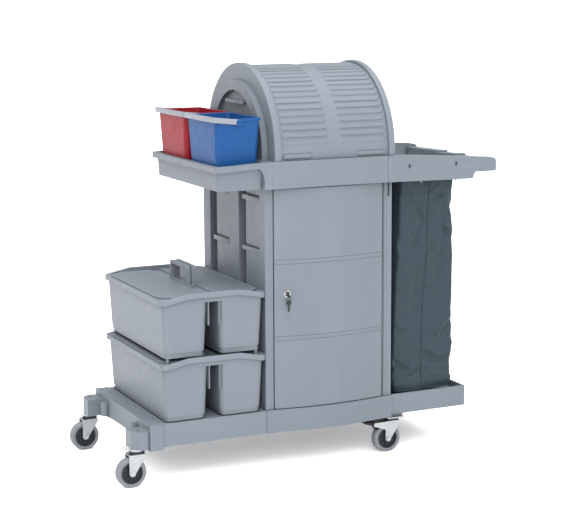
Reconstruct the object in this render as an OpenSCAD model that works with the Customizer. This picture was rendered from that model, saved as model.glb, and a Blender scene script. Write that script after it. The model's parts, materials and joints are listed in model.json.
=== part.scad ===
// Janitor cart: a wheeled base carries two stacked caddies, a lockable cabinet
// with a roll-top hood, a bucket tray and a hanging waste bag.
// Millimetres, +Z up, +X towards the bag, -Y towards the door.

/* [Casters] */
// Wheel diameter over the tyre
wheel_d = 100; // [84:1:120]
// Wheel width
wheel_w = 32; // [26:1:38]
// Hub diameter inside the tyre
hub_d = 74; // [60:1:80]
// Axle bolt diameter
axle_d = 10; // [8:0.5:12]
// Axle offset behind the swivel axis
caster_trail = 22; // [16:1:28]
// Steel thickness of the fork
fork_t = 3; // [2:0.5:4]
// Radius of the fork leg around the axle
fork_eye_r = 11; // [9:0.5:14]
// Gap between the wheel and each fork leg
wheel_gap = 2.5; // [1.5:0.5:4]
// Gap between the tyre and the fork crown
crown_gap = 8.5; // [7:0.5:14]
// Kingpin diameter
kingpin_d = 12; // [9:1:16]
// Swivel head diameter
head_d = 46; // [38:1:52]
// Swivel head height
head_h = 12; // [9:1:18]
// Thickness of the caster top plates
plate_t = 4; // [3:0.5:6]
// Length of the caster top plates
plate_l = 64; // [54:1:76]
// Width of the caster top plates
plate_w = 76; // [60:1:90]
// Stem diameter of the housed casters
stem_d = 22; // [16:1:28]
// Stem length of the housed casters
stem_l = 44; // [30:1:48]
// Distance of the swivel axes from the sides of the base
track_inset = 34; // [26:1:48]
// Reach of the brake arm behind the axle
brake_arm = 50; // [46:1:56]
// Length of the brake pedal
pedal_l = 38; // [28:1:44]
// Brake pivot pin diameter
brake_pin_d = 6; // [4:0.5:8]

/* [Base] */
// Height of the base frame
base_h = 78; // [66:1:100]
// Reach of the base beyond the cabinet's front and back
base_ledge = 10; // [6:1:20]
// Wall of the base mouldings
base_wall = 5; // [3:0.5:8]
// Width of the caster housings
housing_d = 80; // [70:1:90]
// Reach of the caster housings past the stems
housing_reach = 21; // [18:1:30]
// Height of the caster housings
housing_h = 58; // [50:1:66]
// From the housed swivel axis to the outer face of the end beam
beam_offset = 35; // [28:1:50]
// Width of the end beam
beam_w = 45; // [36:1:60]
// Rise of the arch under the end beam
beam_arch = 10; // [6:1:30]
// Distance between the two accessory sockets
socket_gap = 300; // [260:2:330]
// Diameter of the accessory sockets
socket_d = 12; // [8:0.5:14]
// Radius of the half-round socket bosses
socket_boss_r = 14; // [11:0.5:18]
// Bow of the door and of the base in front of it
front_bow = 22; // [12:1:30]
// Length of the bag tray
bag_tray_l = 305; // [290:1:360]
// Inset of the bag tray from the sides of the base
bag_tray_inset = 12; // [2:1:20]
// Depth of the recess in the bag tray
bag_tray_depth = 22; // [14:1:30]

/* [Cabinet] */
// Cabinet length
cabinet_l = 476; // [460:1:540]
// Cabinet depth
cabinet_d = 534; // [520:2:548]
// Cabinet height
cabinet_h = 750; // [720:1:820]
// Thickness of the side walls
side_t = 20; // [16:1:26]
// Depth of the columns recessed into the side walls
column_depth = 28; // [16:1:32]
// Width of the posts beside the door
post_w = 29; // [26:1:34]
// Thickness of the back panel
back_t = 10; // [6:1:16]
// Thickness of the shelves
shelf_t = 8; // [5:1:14]
// Thickness of the door
door_t = 10; // [8:0.5:12]
// Gap around the door
door_gap = 3; // [2:0.5:5]
// Gap between the door's hinged edge and the post beside it
hinge_gap = 6; // [4.5:0.5:9]
// Hinge pin diameter
hinge_pin_d = 6; // [4:0.5:8]
// Depth of the hinge pins in the door
hinge_depth = 40; // [25:1:60]
// Height of the lower groove above the door's bottom edge
groove_low = 240; // [200:1:280]
// Distance between the two pairs of door grooves
groove_pitch = 259; // [220:1:300]
// Lock height above the door's bottom edge
lock_rise = 391; // [340:1:450]
// Lock distance from the door's free edge
lock_inset = 44; // [36:1:60]
// Lock barrel diameter
lock_d = 19; // [15:0.5:23]

/* [Top] */
// Reach of the top mouldings beyond the cabinet's front and back
top_overhang = 31; // [28:1:44]
// Height of the top mouldings
top_h = 90; // [80:1:100]
// Wall of the top mouldings
top_wall = 5; // [3:0.5:7]
// Width of the bucket tray's rim around its basin
tray_rim_w = 20; // [14:1:28]
// Height of the bucket tray's rim
tray_lip_h = 19; // [14:1:26]
// Length of the bag frame
bag_frame_l = 429; // [410:1:480]
// Width of one bag frame arm
arm_w = 40; // [34:1:50]
// Droop of the bag frame at its free end
frame_droop = 25; // [10:1:32]
// Depth of the end bar between the arms
end_bar_w = 48; // [36:1:60]

/* [Hood] */
// Distance of the hood's arches from the sides of the deck
hood_edge = 7; // [5:1:13]
// Height of the hood axis above the top mouldings
hood_rise = 20; // [16:1:32]
// Distance from the cabinet's left side to the hood
hood_inset = 27; // [20:1:34]
// Thickness of the hood arches
arch_t = 22; // [18:1:26]
// Wall of the hood shells
shell_t = 3.5; // [2.5:0.5:4]
// Angle covered by the shutter above the hood axis
shutter_angle = 115; // [110:1:118]
// Angle between two ribs of the hood
rib_pitch = 5; // [4:0.5:8]
// Height of the ribs
rib_h = 2; // [1:0.25:2.5]
// Width of the plain strip between the two rows of ribs
rib_gap = 46; // [30:1:80]

/* [Buckets] */
// Distance of the buckets' bails from the sides of the deck
bucket_edge = 25.5; // [24:0.5:34]
// Bucket width along the cart
bucket_w = 165; // [155:1:170]
// Bucket height
bucket_h = 228; // [200:1:250]
// Bucket wall
bucket_wall = 2.5; // [2:0.25:4]
// Diameter of the bail pins
bail_pin_d = 6; // [4:0.5:8]
// Gap between a bucket's edge and its bail
bail_clear = 2.5; // [2:0.5:28]
// Height of the bail section
bail_h = 17; // [9:1:18]
// Thickness of the bail section
bail_t = 5; // [4:0.5:6]

/* [Caddies] */
// Caddy height up to the corner of its rim
caddy_h = 195; // [170:1:215]
// Width of one caddy compartment at the top
comp_w = 160; // [150:1:162]
// Inset of the caddy compartments from the sides of the base
comp_inset = 0; // [0:1:12]
// Taper of a compartment on each side
comp_taper = 8; // [6:1:14]
// Caddy wall
caddy_wall = 3; // [2:0.25:4]
// Gap between the two compartments at the top
comp_gap = 37; // [34:1:44]
// Rise of the rim in the middle of its long sides
rim_rise = 16; // [8:1:17]
// Height of the rim
rim_h = 16; // [12:1:20]
// Reach of the rim beyond the compartments
rim_reach = 8; // [6:1:9]
// Rise from the rim's corner of one caddy to the foot of the next
stack_rise = 18; // [18:1:26]
// Thickness of the lid
lid_t = 5; // [4:0.5:6]
// Height of the carrying handle above the rim's corner
handle_h = 72; // [60:1:80]
// Length of the carrying handle
handle_l = 156; // [130:2:180]
// Thickness of one handle loop
handle_t = 14; // [11:0.5:15]

/* [Bag] */
// Bag width at the top
bag_w = 210; // [190:1:230]
// Gap between the bag and each arm of its frame
bag_side_gap = 9; // [6:1:20]
// Gap between the bag's bottom and the top of the bag tray
bag_lift = 10; // [6:1:30]
// Length of the bag above the frame's lower edge
bag_tuck = 34; // [24:1:50]
// Thickness of the bag's cloth
bag_t = 3; // [2:0.5:4]

/* [Hidden] */
$fn = 64;
// Running clearance on the radius of a pin in its bore
pin_gap = 0.05;
// Clearance on the radius of a press-in piece
seat_gap = 0.1;
// Clearance between flat faces that slide
slide_gap = 0.5;
// Gap between the hood's shells, and between a shell and its ledge
shell_gap = 1;
// Overlap used to cut cleanly through a face
cut = 1;

// Half widths
cabinet_y = cabinet_d / 2;
base_y = cabinet_y + base_ledge;
base_w = 2 * base_y;
top_y = cabinet_y + top_overhang;
track_y = base_y - track_inset;
bag_tray_w = base_w - 2 * bag_tray_inset;

// Heights, from the floor up
axle_z = wheel_d / 2;
crown_z = wheel_d + crown_gap;
head_z = crown_z + fork_t + slide_gap;
base_z = head_z + head_h + plate_t;
base_top = base_z + base_h;
cabinet_top = base_top + cabinet_h;
top_z = cabinet_top + top_h;
hood_z = top_z + hood_rise;

// Plan of a caddy, which the deck under it follows
comp_l = base_w - 2 * comp_inset;
comp_x = (comp_gap + comp_w) / 2;
rim_w = comp_gap + 2 * comp_w + 2 * rim_reach;
rim_l = comp_l + 2 * rim_reach;
// Gap between the caddies and the cabinet
caddy_gap = 2.5;

// Places along the cart, from the housed swivel axes
beam_x = beam_offset;
// Plastic between a socket and the end beam
socket_wall = 3;
socket_x = beam_x - socket_d / 2 - socket_wall;
deck_x = beam_x + beam_w;
cabinet_x = deck_x + rim_w;
caddy_x = cabinet_x - rim_w / 2 - caddy_gap;
tray_x = cabinet_x + cabinet_l;
base_end_x = tray_x + bag_tray_l;
// The plate casters stand across the joint of the cabinet base and the bag tray
plate_caster_x = tray_x + plate_l / 4;
// The tray's bracket reaches over the left wall as far as the joint with the deck
seam_inset = 15;
deck_seam_x = cabinet_x + seam_inset;
bracket_w = 28;
bracket_x = deck_seam_x - bracket_w;
// The tray's basin fits the bucket below its edge, where it is narrower
basin_draw = 13;
basin_l = bucket_w - basin_draw;
basin_x = bracket_x - basin_l / 2;
bucket_tray_x = bracket_x - basin_l - tray_rim_w;
hood_x = cabinet_x + hood_inset;
hood_l = tray_x - hood_x - shell_gap;
// Width of the arches' inner ledges, which carry the shells
ledge_w = 8;
frame_x = hood_x + hood_l - arch_t - ledge_w;
frame_end_x = frame_x + bag_frame_l;
left_most = -caster_trail - wheel_d / 2;
origin_x = (left_most + frame_end_x) / 2;

// Wall of the columns' casings inside the cabinet
column_skin = 5;
// Depth of the ribs under the deck and the cabinet's base
under_rib_h = 14;

// Caster fork
leg_y = wheel_w / 2 + wheel_gap;
fork_y = leg_y + fork_t;
crown_front = head_d / 2;
crown_back = -caster_trail - fork_eye_r;
// Depth of the crown's sides in front of the swivel axis
crown_drop = 8;
// Depth of the brake arm where it leaves the fork leg
arm_root = 26;
brake_x = -caster_trail - brake_arm;
// Drop of the brake's pin below the crown, and steel around the pin
brake_drop = 5;
brake_eye_wall = 4;
brake_z = crown_z - brake_drop;
brake_eye_r = brake_pin_d / 2 + brake_eye_wall;
// The shoe stops just off the tyre when the pedal has turned this far
brake_turn = 20;
brake_gap = 0.4;
shoe_r = 1.6;
shoe_dir = atan2(axle_z - brake_z, brake_arm) - brake_turn;
shoe_l = norm([brake_arm, axle_z - brake_z]) - wheel_d / 2 - shoe_r - brake_gap;

// Door, on a vertical arc between the posts
door_x0 = cabinet_x + post_w;
door_x1 = tray_x - post_w;
// The door's edges stand this far in front of the posts
door_proud = 2;
door_edge_y = -cabinet_y - door_proud;
// Plastic around the hinge pins
hinge_wall = 3;
hinge_r = hinge_pin_d / 2 + hinge_wall;
hinge_x = door_x1 - hinge_gap - hinge_r;
hinge_y = door_edge_y + hinge_r;
door_left = door_x0 + door_gap;
door_right = hinge_x + hinge_r;
door_chord = door_right - door_left;
door_r = door_chord * door_chord / (8 * front_bow) + front_bow / 2;
door_mid_x = (door_left + door_right) / 2;
door_z0 = base_top + door_gap;
door_z1 = cabinet_top - door_gap;
lock_x = door_left + lock_inset;
lock_z = door_z0 + lock_rise;
lock_face_y = door_arc_y(lock_x, door_r);
// Depth of the flat spot around the lock
lock_seat = 2;
// The barrel reaches behind the door, with the latch tongue after it
barrel_back = 14;
lock_back_y = lock_face_y + door_t + barrel_back;
plug_d = lock_d * 0.6;
latch_grip = 6;
cam_reach = lock_inset + door_gap + latch_grip;
cam_w = 15;
cam_t = 3;
cam_gap = 1;
cam_y = lock_back_y + cam_gap;
post_t = cam_y + cabinet_y - cam_gap;
// Key: its bow stands in front of the lock, with the ring's hole low in it
key_stand = 4;
bow_w = 12;
bow_r = 10;
ring_hole_inset = 4.5;
ring_hole_y = lock_face_y - key_stand - bow_w + ring_hole_inset;
ring_hole_z = lock_z - bow_r / 2;

// Hood radii, from the outside in
hood_r = top_y - hood_edge;
rear_r = hood_r - rib_h - shell_gap;
shutter_r = rear_r - shell_t - rib_h - 1.5 * shell_gap;
ledge_r = shutter_r - shell_t - shell_gap;
foot_angle = asin(hood_rise / hood_r);
shell_x0 = hood_x + arch_t;
shell_x1 = hood_x + hood_l - arch_t;

// Buckets and their tray
tray_floor_z = cabinet_top + top_wall;
// Fall of the tray's rim from the deck's top to the rim's free end
rim_drop = 9;
tray_rim_z = top_z - rim_drop;
// Two buckets stand side by side, moved a little towards the tray's free end
bucket_l = top_y - bucket_edge - 2 * bail_t + slide_gap;
bucket_shift = 1;
bucket_x = basin_x - bucket_shift;
// Taper of a bucket at its sides and at its ends
bucket_taper = 13;
bucket_lean = 21;
// Depth of the bail's axis below the bucket's edge
bail_drop = 12;
bail_z = tray_floor_z + bucket_h - bail_drop;
bail_reach = bucket_w / 2 + bail_clear;
bail_pin_l = 5;
bail_inner = bucket_l / 2 + slide_gap;
bail_outer = bail_inner + bail_t - 2 * slide_gap;
bucket_y = bail_outer + slide_gap;

// Caddies
caddy_pitch = caddy_h + stack_rise;
// Overlap of a lid on the walls at its sides, and its gap to the rim at its ends
lid_lap = 1;
lid_end_gap = 2;
lid_w = comp_w + 2 * lid_lap;
lid_l = comp_l - 2 * caddy_wall - 2 * lid_end_gap;
// The rim rises along its ramps, from rim_foot to rim_crest on each side
rim_ramp = 80;
// Level stretch of the rim at each of its corners
rim_level = 15;
rim_foot = rim_w / 2 - rim_level;
rim_crest = rim_foot - rim_ramp;
peg_r = 6;
peg_l = stack_rise - slide_gap;
// Distance of the pegs from the compartment's sides at its foot
peg_inset = 14;
peg_x = comp_x + comp_w / 2 - comp_taper - peg_inset;
peg_y = comp_l / 2 - comp_taper - peg_inset;
// Leg of the notch in each outer lid corner that lets a peg through
peg_room = 2;
notch = comp_x + lid_w / 2 - peg_x + lid_l / 2 - peg_y + sqrt(2) * (peg_r + peg_room);
plinth_h = 16;
plinth_inset = 3;
// Gap between a handle's sides and the compartments
handle_gap = 2;
loop_gap = comp_gap - 2 * handle_t - 2 * handle_gap;

// Bag and its frame
arm_y = top_y - arm_w;
arm_low_z = cabinet_top;
// The arm's underside falls a little up to a step before its tip
arm_tip_l = 95;
arm_tip_rise = 18;
arm_step_x = frame_end_x - arm_tip_l;
arm_tip_z = cabinet_top + arm_tip_rise;
arm_fall = 5;
frame_block_w = 38;
opening_x = frame_x + frame_block_w;
// Places of the round pockets along an arm, with a peg in each
hook_first = 46;
hook_last = 230;
hook_drop = 40;
hook_depth = 4;
hook_stem_r = 3.5;
hook_head_r = 6;
hook_head_t = 2;
hook_head_drop = 4;
hook_places = [opening_x + hook_first, opening_x + hook_last];
hook_z = top_z - hook_drop;
bag_back_gap = 42;
bag_x = opening_x + bag_back_gap;
bag_l = 2 * (arm_y - bag_side_gap);
bag_z = base_top + bag_lift;
bag_top_z = cabinet_top + bag_tuck;
// The bag is wider at its foot by bag_spread, and shallower by bag_draw
bag_spread = 34;
bag_draw = 12;
bag_edge_r = 30;

// In the names of the casters, l is the housed end and r the plate end,
// f is the door side and b the back

GREY = [0.62, 0.66, 0.70];
STEEL = [0.75, 0.76, 0.77];
DARK = [0.16, 0.17, 0.19];

// Front face of the door's arc of radius r at place x
function door_arc_y(x, r) = door_edge_y - front_bow + door_r
    - sqrt(r * r - (x - door_mid_x) * (x - door_mid_x));

// Swivel axis of a corner: places of the casters on the floor plan
function corner_x(c) = c[1] == "l" ? 0 : plate_caster_x;
function corner_y(c) = c[0] == "f" ? -track_y : track_y;

// Rounded rectangle as a ring of points at height z
function corner_ring(w, l, r, z, n = 6) = [
    for (q = [0:3])
        for (i = [0:n])
            let (
                a = 90 * (q + i / n),
                sx = q == 0 || q == 3 ? 1 : -1,
                sy = q < 2 ? 1 : -1
            )
            [sx * (w / 2 - r) + r * cos(a), sy * (l / 2 - r) + r * sin(a), z]
];

// Tapered box with rounded upright edges, standing on z = 0
module taper_box(w0, l0, w1, l1, h, r) {
    ring = concat(corner_ring(w0, l0, r, 0), corner_ring(w1, l1, r, h));
    n = len(ring) / 2;
    low = [for (i = [0:n - 1]) i];
    high = [for (i = [n - 1:-1:0]) n + i];
    sides = [for (i = [0:n - 1]) [i, n + i, n + (i + 1) % n, (i + 1) % n]];
    polyhedron(points = ring, faces = concat([low, high], sides));
}

// Rounded rectangle in the plane, centred
module round_rect(w, l, r) {
    square([w - 2 * r, l], center = true);
    square([w, l - 2 * r], center = true);
    for (sx = [-1, 1])
        for (sy = [-1, 1])
            translate([sx * (w / 2 - r), sy * (l / 2 - r)]) circle(r);
}

// Box between two corners
module block(low, high) {
    translate(low) cube(high - low);
}

// Moves the cart's own places to the frame's origin
module placed() {
    translate([-origin_x, 0, 0]) children();
}

// Copies to both sides of the middle plane
module both_sides() {
    children();
    mirror([0, 1, 0]) children();
}

// Lays a profile drawn in the XZ plane along Y, from y0 to y1
module along_y(y0, y1) {
    translate([0, y1, 0]) rotate([90, 0, 0]) linear_extrude(y1 - y0) children();
}

// Lays a profile drawn in the YZ plane along X, from x0 to x1
module along_x(x0, x1) {
    translate([x0, 0, 0]) rotate([90, 0, 90]) linear_extrude(x1 - x0) children();
}

// Wheels and forks

module at_corner(c) {
    placed() translate([corner_x(c), corner_y(c), 0]) children();
}

// One fork leg seen from the side
module leg_profile(braked) {
    translate([-caster_trail, axle_z]) circle(fork_eye_r);
    polygon([
        [crown_back, axle_z],
        [crown_back, crown_z + fork_t],
        [crown_front, crown_z + fork_t],
        [crown_front, crown_z - crown_drop],
        [-caster_trail + fork_eye_r, axle_z]
    ]);
    if (braked) {
        translate([brake_x, brake_z]) circle(brake_eye_r);
        polygon([
            [brake_x, brake_z + brake_eye_r],
            [brake_x, brake_z - brake_eye_r],
            [crown_back, crown_z - arm_root],
            [crown_back, brake_z + brake_eye_r]
        ]);
    }
}

module fork(braked) {
    color(STEEL) {
        difference() {
            union() {
                both_sides() along_y(leg_y, fork_y) leg_profile(braked);
                block([crown_back, -leg_y, crown_z], [crown_front, leg_y, crown_z + fork_t]);
            }
            translate([-caster_trail, fork_y + cut, axle_z])
                rotate([90, 0, 0]) cylinder(d = axle_d + 2 * pin_gap, h = 2 * fork_y + 2 * cut);
        }
        translate([0, 0, crown_z + fork_t]) cylinder(d = kingpin_d, h = head_h - cut);
        if (braked)
            translate([brake_x, leg_y, brake_z])
                rotate([90, 0, 0]) cylinder(d = brake_pin_d, h = 2 * leg_y);
    }
}

module axle() {
    nut_d = axle_d * 1.8;
    nut_h = axle_d * 0.55;
    color(STEEL)
        translate([-caster_trail, 0, axle_z]) rotate([90, 0, 0]) {
            translate([0, 0, -fork_y - cut]) cylinder(d = axle_d, h = 2 * fork_y + 2 * cut);
            for (z = [fork_y, -fork_y - nut_h])
                translate([0, 0, z]) cylinder(d = nut_d, h = nut_h, $fn = 6);
        }
}

module hub() {
    flange = 5;
    dish = 6;
    dish_r = hub_d / 2 - flange;
    boss_r = axle_d / 2 + 7;
    color(DARK)
        translate([-caster_trail, 0, axle_z]) rotate([90, 0, 0]) difference() {
            cylinder(d = hub_d, h = wheel_w, center = true);
            cylinder(d = axle_d + 2 * pin_gap, h = wheel_w + 2 * cut, center = true);
            for (side = [-1, 1])
                translate([0, 0, side * (wheel_w / 2 - dish / 2 + cut / 2)]) difference() {
                    cylinder(r = dish_r, h = dish + cut, center = true);
                    cylinder(r = boss_r, h = dish + 2 * cut, center = true);
                }
        }
}

module tyre() {
    edge = 6;
    side_inset = 1;
    side_w = wheel_w - 2 * side_inset;
    tread_w = wheel_w - 2 * edge;
    thick = (wheel_d - hub_d) / 2;
    color([0.50, 0.52, 0.54])
        translate([-caster_trail, 0, axle_z]) rotate([90, 0, 0]) rotate_extrude() {
            translate([hub_d / 2, -side_w / 2]) square([thick - edge, side_w]);
            translate([hub_d / 2, -tread_w / 2]) square([thick, tread_w]);
            for (side = [-1, 1])
                translate([wheel_d / 2 - edge, side * tread_w / 2]) circle(edge);
        }
}

// Foot pedal that pushes its shoe against the tyre
module brake() {
    pedal_rise = 11;
    pedal_t = 6;
    root = 5;
    boss_r = brake_pin_d / 2 + 3;
    side_gap = 2.5;
    width = 2 * (leg_y - side_gap);
    shoe = [brake_x, brake_z] + shoe_l * [cos(shoe_dir), sin(shoe_dir)];
    color(DARK) difference() {
        along_y(-width / 2, width / 2) {
            translate([brake_x, brake_z]) circle(boss_r);
            polygon([
                [brake_x, brake_z + boss_r],
                [brake_x - pedal_l, brake_z + pedal_rise],
                [brake_x - pedal_l, brake_z + pedal_rise - pedal_t],
                [brake_x, brake_z - boss_r]
            ]);
            polygon([
                [brake_x - root, brake_z],
                [brake_x + root, brake_z],
                shoe + [shoe_r, 0],
                shoe - [shoe_r, 0]
            ]);
            translate(shoe) circle(shoe_r);
        }
        translate([brake_x, width, brake_z])
            rotate([90, 0, 0]) cylinder(d = brake_pin_d + 2 * pin_gap, h = 2 * width);
    }
}

module swivel_head() {
    difference() {
        translate([0, 0, head_z]) cylinder(d = head_d, h = head_h);
        translate([0, 0, head_z - cut]) cylinder(d = kingpin_d + 2 * pin_gap, h = head_h + cut);
    }
}

module caster_stems() {
    color(STEEL)
        for (c = ["fl", "bl"])
            at_corner(c) {
                swivel_head();
                translate([0, 0, head_z + head_h]) cylinder(d = head_d, h = plate_t);
                translate([0, 0, base_z]) cylinder(d = stem_d, h = stem_l);
            }
}

module caster_plates() {
    corner_r = 8;
    color(STEEL)
        for (c = ["fr", "br"])
            at_corner(c) {
                swivel_head();
                translate([0, 0, base_z - plate_t])
                    linear_extrude(plate_t) round_rect(plate_l, plate_w, corner_r);
            }
}

// Base

// Plan of a caster housing: round at its outer corner, with a narrower neck to the beam
module housing_plan() {
    edge = 36;
    neck_l = 10;
    neck_inset = 12;
    lap = 1;
    body_l = housing_reach + beam_x - neck_l;
    square([body_l, housing_d - edge]);
    translate([edge, 0]) square([body_l - edge, housing_d]);
    translate([edge, housing_d - edge]) circle(edge);
    translate([edge, 0]) square([body_l + neck_l + lap - edge, housing_d - neck_inset]);
}

module end_beam() {
    post_drop = 8;
    post_l = 32;
    post_proud = 2;
    arch_inset = 12;
    arch_l = 2 * (base_y - housing_d - arch_inset);
    arch_r = arch_l * arch_l / (8 * beam_arch) + beam_arch / 2;
    color(GREY) placed() difference() {
        union() {
            block([beam_x, -base_y, base_z], [deck_x, base_y, base_top]);
            both_sides() {
                block(
                    [beam_x, base_y - post_l, base_z - post_drop],
                    [deck_x, base_y + post_proud, base_top]
                );
                translate([-housing_reach, base_y - housing_d, base_z])
                    linear_extrude(housing_h) housing_plan();
                translate([socket_x, socket_gap / 2, base_z + beam_arch])
                    cylinder(r = socket_boss_r, h = housing_h - beam_arch);
            }
        }
        along_x(socket_x - socket_boss_r - cut, deck_x + cut)
            translate([0, base_z + beam_arch - arch_r]) circle(arch_r, $fn = 180);
        both_sides() {
            translate([0, track_y, base_z - cut])
                cylinder(d = stem_d + 2 * seat_gap, h = stem_l + cut + slide_gap);
            translate([socket_x, socket_gap / 2, base_z]) cylinder(d = socket_d, h = base_h);
        }
    }
}

// Moulded caps over the screws through the top of the end beam
module base_screws() {
    screw_r = 6;
    head_half = 1.5;
    inner_y = 40;
    outer_y = track_y - 42;
    color(GREY) placed()
        for (y = [-outer_y, -inner_y, inner_y, outer_y])
            translate([deck_x - beam_w / 3, y, base_top]) {
                cylinder(r = screw_r, h = head_half);
                translate([0, 0, head_half]) cylinder(r1 = screw_r, r2 = screw_r * 0.6, h = head_half);
            }
}

module caddy_deck() {
    inset = 4;
    plate = 6;
    rib_t = 4;
    rib_low = base_top - plate - under_rib_h;
    color(GREY) placed() difference() {
        block([deck_x, -base_y + inset, base_z], [cabinet_x, base_y - inset, base_top]);
        difference() {
            block(
                [deck_x + base_wall, -base_y + inset + base_wall, base_z - cut],
                [cabinet_x - base_wall, base_y - inset - base_wall, base_top - plate]
            );
            for (x = [caddy_x - comp_x, caddy_x + comp_x])
                block([x - rib_t / 2, -base_y, rib_low], [x + rib_t / 2, base_y, base_top]);
            block([deck_x, -rib_t / 2, rib_low], [cabinet_x, rib_t / 2, base_top]);
        }
        for (sx = [-1, 1])
            for (sy = [-1, 1])
                translate([caddy_x + sx * peg_x, sy * peg_y, base_top - plate - cut])
                    cylinder(r = peg_r + slide_gap, h = plate + 2 * cut);
    }
}

// Floor plan of the cabinet's base, bowed at the front between two flats
module cabinet_base_plan(wall) {
    flat_l = 60;
    bow_l = cabinet_l - 2 * flat_l;
    bow = front_bow - door_proud;
    bow_r = bow_l * bow_l / (8 * bow) + bow / 2;
    translate([cabinet_x + wall, -base_y + wall]) square([cabinet_l - 2 * wall, base_w - 2 * wall]);
    intersection() {
        translate([cabinet_x + cabinet_l / 2, -base_y - bow + bow_r])
            circle(bow_r - wall, $fn = 180);
        translate([cabinet_x + flat_l, -base_y - 2 * bow]) square([bow_l, 2 * bow + base_wall + cut]);
    }
}

module cabinet_base() {
    plate = 6;
    rib_t = 4;
    rib_low = base_top - plate - under_rib_h;
    pad_edge = 4;
    pad_x = plate_caster_x - plate_l / 2 - pad_edge;
    pad_y = plate_w / 2 + pad_edge;
    color(GREY) placed() difference() {
        translate([0, 0, base_z]) linear_extrude(base_h) cabinet_base_plan(0);
        difference() {
            translate([0, 0, base_z - cut])
                linear_extrude(base_h - plate + cut) cabinet_base_plan(base_wall);
            both_sides()
                block([pad_x, track_y - pad_y, base_z], [tray_x, base_y, base_top]);
            for (x = [cabinet_x + cabinet_l / 3, cabinet_x + 2 * cabinet_l / 3])
                block([x - rib_t / 2, -base_w, rib_low], [x + rib_t / 2, base_w, base_top]);
        }
    }
}

module bag_tray() {
    edge = 9;
    floor_t = 4;
    floor_z = base_top - bag_tray_depth;
    skirt_z = base_z + 7;
    half = bag_tray_w / 2;
    corner_r = 8;
    pad_edge = 4;
    pad_x = plate_caster_x + plate_l / 2 + pad_edge;
    pad_y = plate_w / 2 + pad_edge;
    color(GREY) placed() difference() {
        union() {
            block([tray_x, -half, skirt_z], [base_end_x - corner_r, half, base_top]);
            translate([base_end_x - bag_tray_l / 4, 0, skirt_z])
                linear_extrude(base_top - skirt_z) round_rect(bag_tray_l / 2, bag_tray_w, corner_r);
            both_sides()
                block([tray_x, track_y - pad_y, base_z], [pad_x, half - pad_edge, base_top]);
        }
        block([tray_x + edge, -half + edge, floor_z], [base_end_x - edge, half - edge, base_top + cut]);
        difference() {
            block(
                [tray_x + base_wall, -half + base_wall, base_z - cut],
                [base_end_x - base_wall, half - base_wall, floor_z - floor_t]
            );
            both_sides()
                block([tray_x, track_y - pad_y, base_z - 2 * cut], [pad_x, half, base_top]);
        }
    }
}

// Cabinet

// Box from a depth inside the face at place x, which looks to the side out, to proud outside it
module face_box(x, out, depth, proud, y0, y1, z0, z1) {
    inner = x - out * depth;
    outer = x + out * proud;
    block([min(inner, outer), y0, z0], [max(inner, outer), y1, z1]);
}

// Side wall from x0 to x1 with recessed columns and cross slots on the face to the side out
module side_wall(x0, x1, out) {
    column_w = 62;
    panel_w = 112;
    slot_h = 8;
    front_inset = 45;
    back_inset = 62;
    column_rise = 60;
    slot_top = 26;
    slot_pitch = 175;
    slot_drops = [slot_top, slot_top + slot_pitch];
    slot_depth = 9;
    face_x = out < 0 ? x0 : x1;
    front_panel = -cabinet_y + front_inset;
    back_column = cabinet_y - back_inset - column_w;
    back_panel = back_column - panel_w;
    columns = [front_panel + panel_w - 2 * cut, back_column];
    low = base_top + column_rise;
    high = cabinet_top - slot_h;
    case_t = column_skin;
    difference() {
        union() {
            block([x0, -cabinet_y, base_top], [x1, cabinet_y, cabinet_top]);
            for (y = columns)
                face_box(
                    face_x, out, column_depth + case_t, 0,
                    y - case_t, y + column_w + case_t, low - case_t, high + case_t
                );
        }
        for (y = columns)
            face_box(face_x, out, column_depth, cut, y, y + column_w, low, high);
        for (y = [front_panel, back_panel])
            for (drop = slot_drops)
                face_box(
                    face_x, out, slot_depth, cut, y, y + panel_w,
                    cabinet_top - drop - slot_h, cabinet_top - drop
                );
    }
}

module left_wall() {
    color(GREY) placed() side_wall(cabinet_x, cabinet_x + side_t, -1);
}

module right_wall() {
    color(GREY) placed() side_wall(tray_x - side_t, tray_x, 1);
}

// Square post at a front corner of the cabinet
module front_post(x0, x1) {
    color(GREY) placed()
        block([x0, -cabinet_y, base_top], [x1, -cabinet_y + post_t, cabinet_top]);
}

// The latch tongue grips behind the left post
module left_post() {
    front_post(cabinet_x + side_t, door_x0);
}

module right_post() {
    front_post(door_x1, tray_x - side_t);
}

module back_panel() {
    color(GREY) placed()
        block(
            [cabinet_x + side_t, cabinet_y - back_t, base_top],
            [tray_x - side_t, cabinet_y, cabinet_top]
        );
}

// The shelves fit between the casings of the side walls' columns
module shelves() {
    front = 60;
    side = column_depth + column_skin;
    color(GREY) placed()
        for (z = [base_top + cabinet_h / 3, base_top + 2 * cabinet_h / 3])
            block(
                [cabinet_x + side, -cabinet_y + front, z],
                [tray_x - side, cabinet_y - back_t, z + shelf_t]
            );
}

// Plan of the bowed door between two radii of its arc
module door_plan(outer, inner) {
    translate([0, door_edge_y - front_bow + door_r]) intersection() {
        translate([door_mid_x, 0]) difference() {
            circle(outer, $fn = 360);
            circle(inner, $fn = 360);
        }
        translate([door_left, -2 * door_r]) square([hinge_x - door_left, 2 * door_r]);
    }
}

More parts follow.
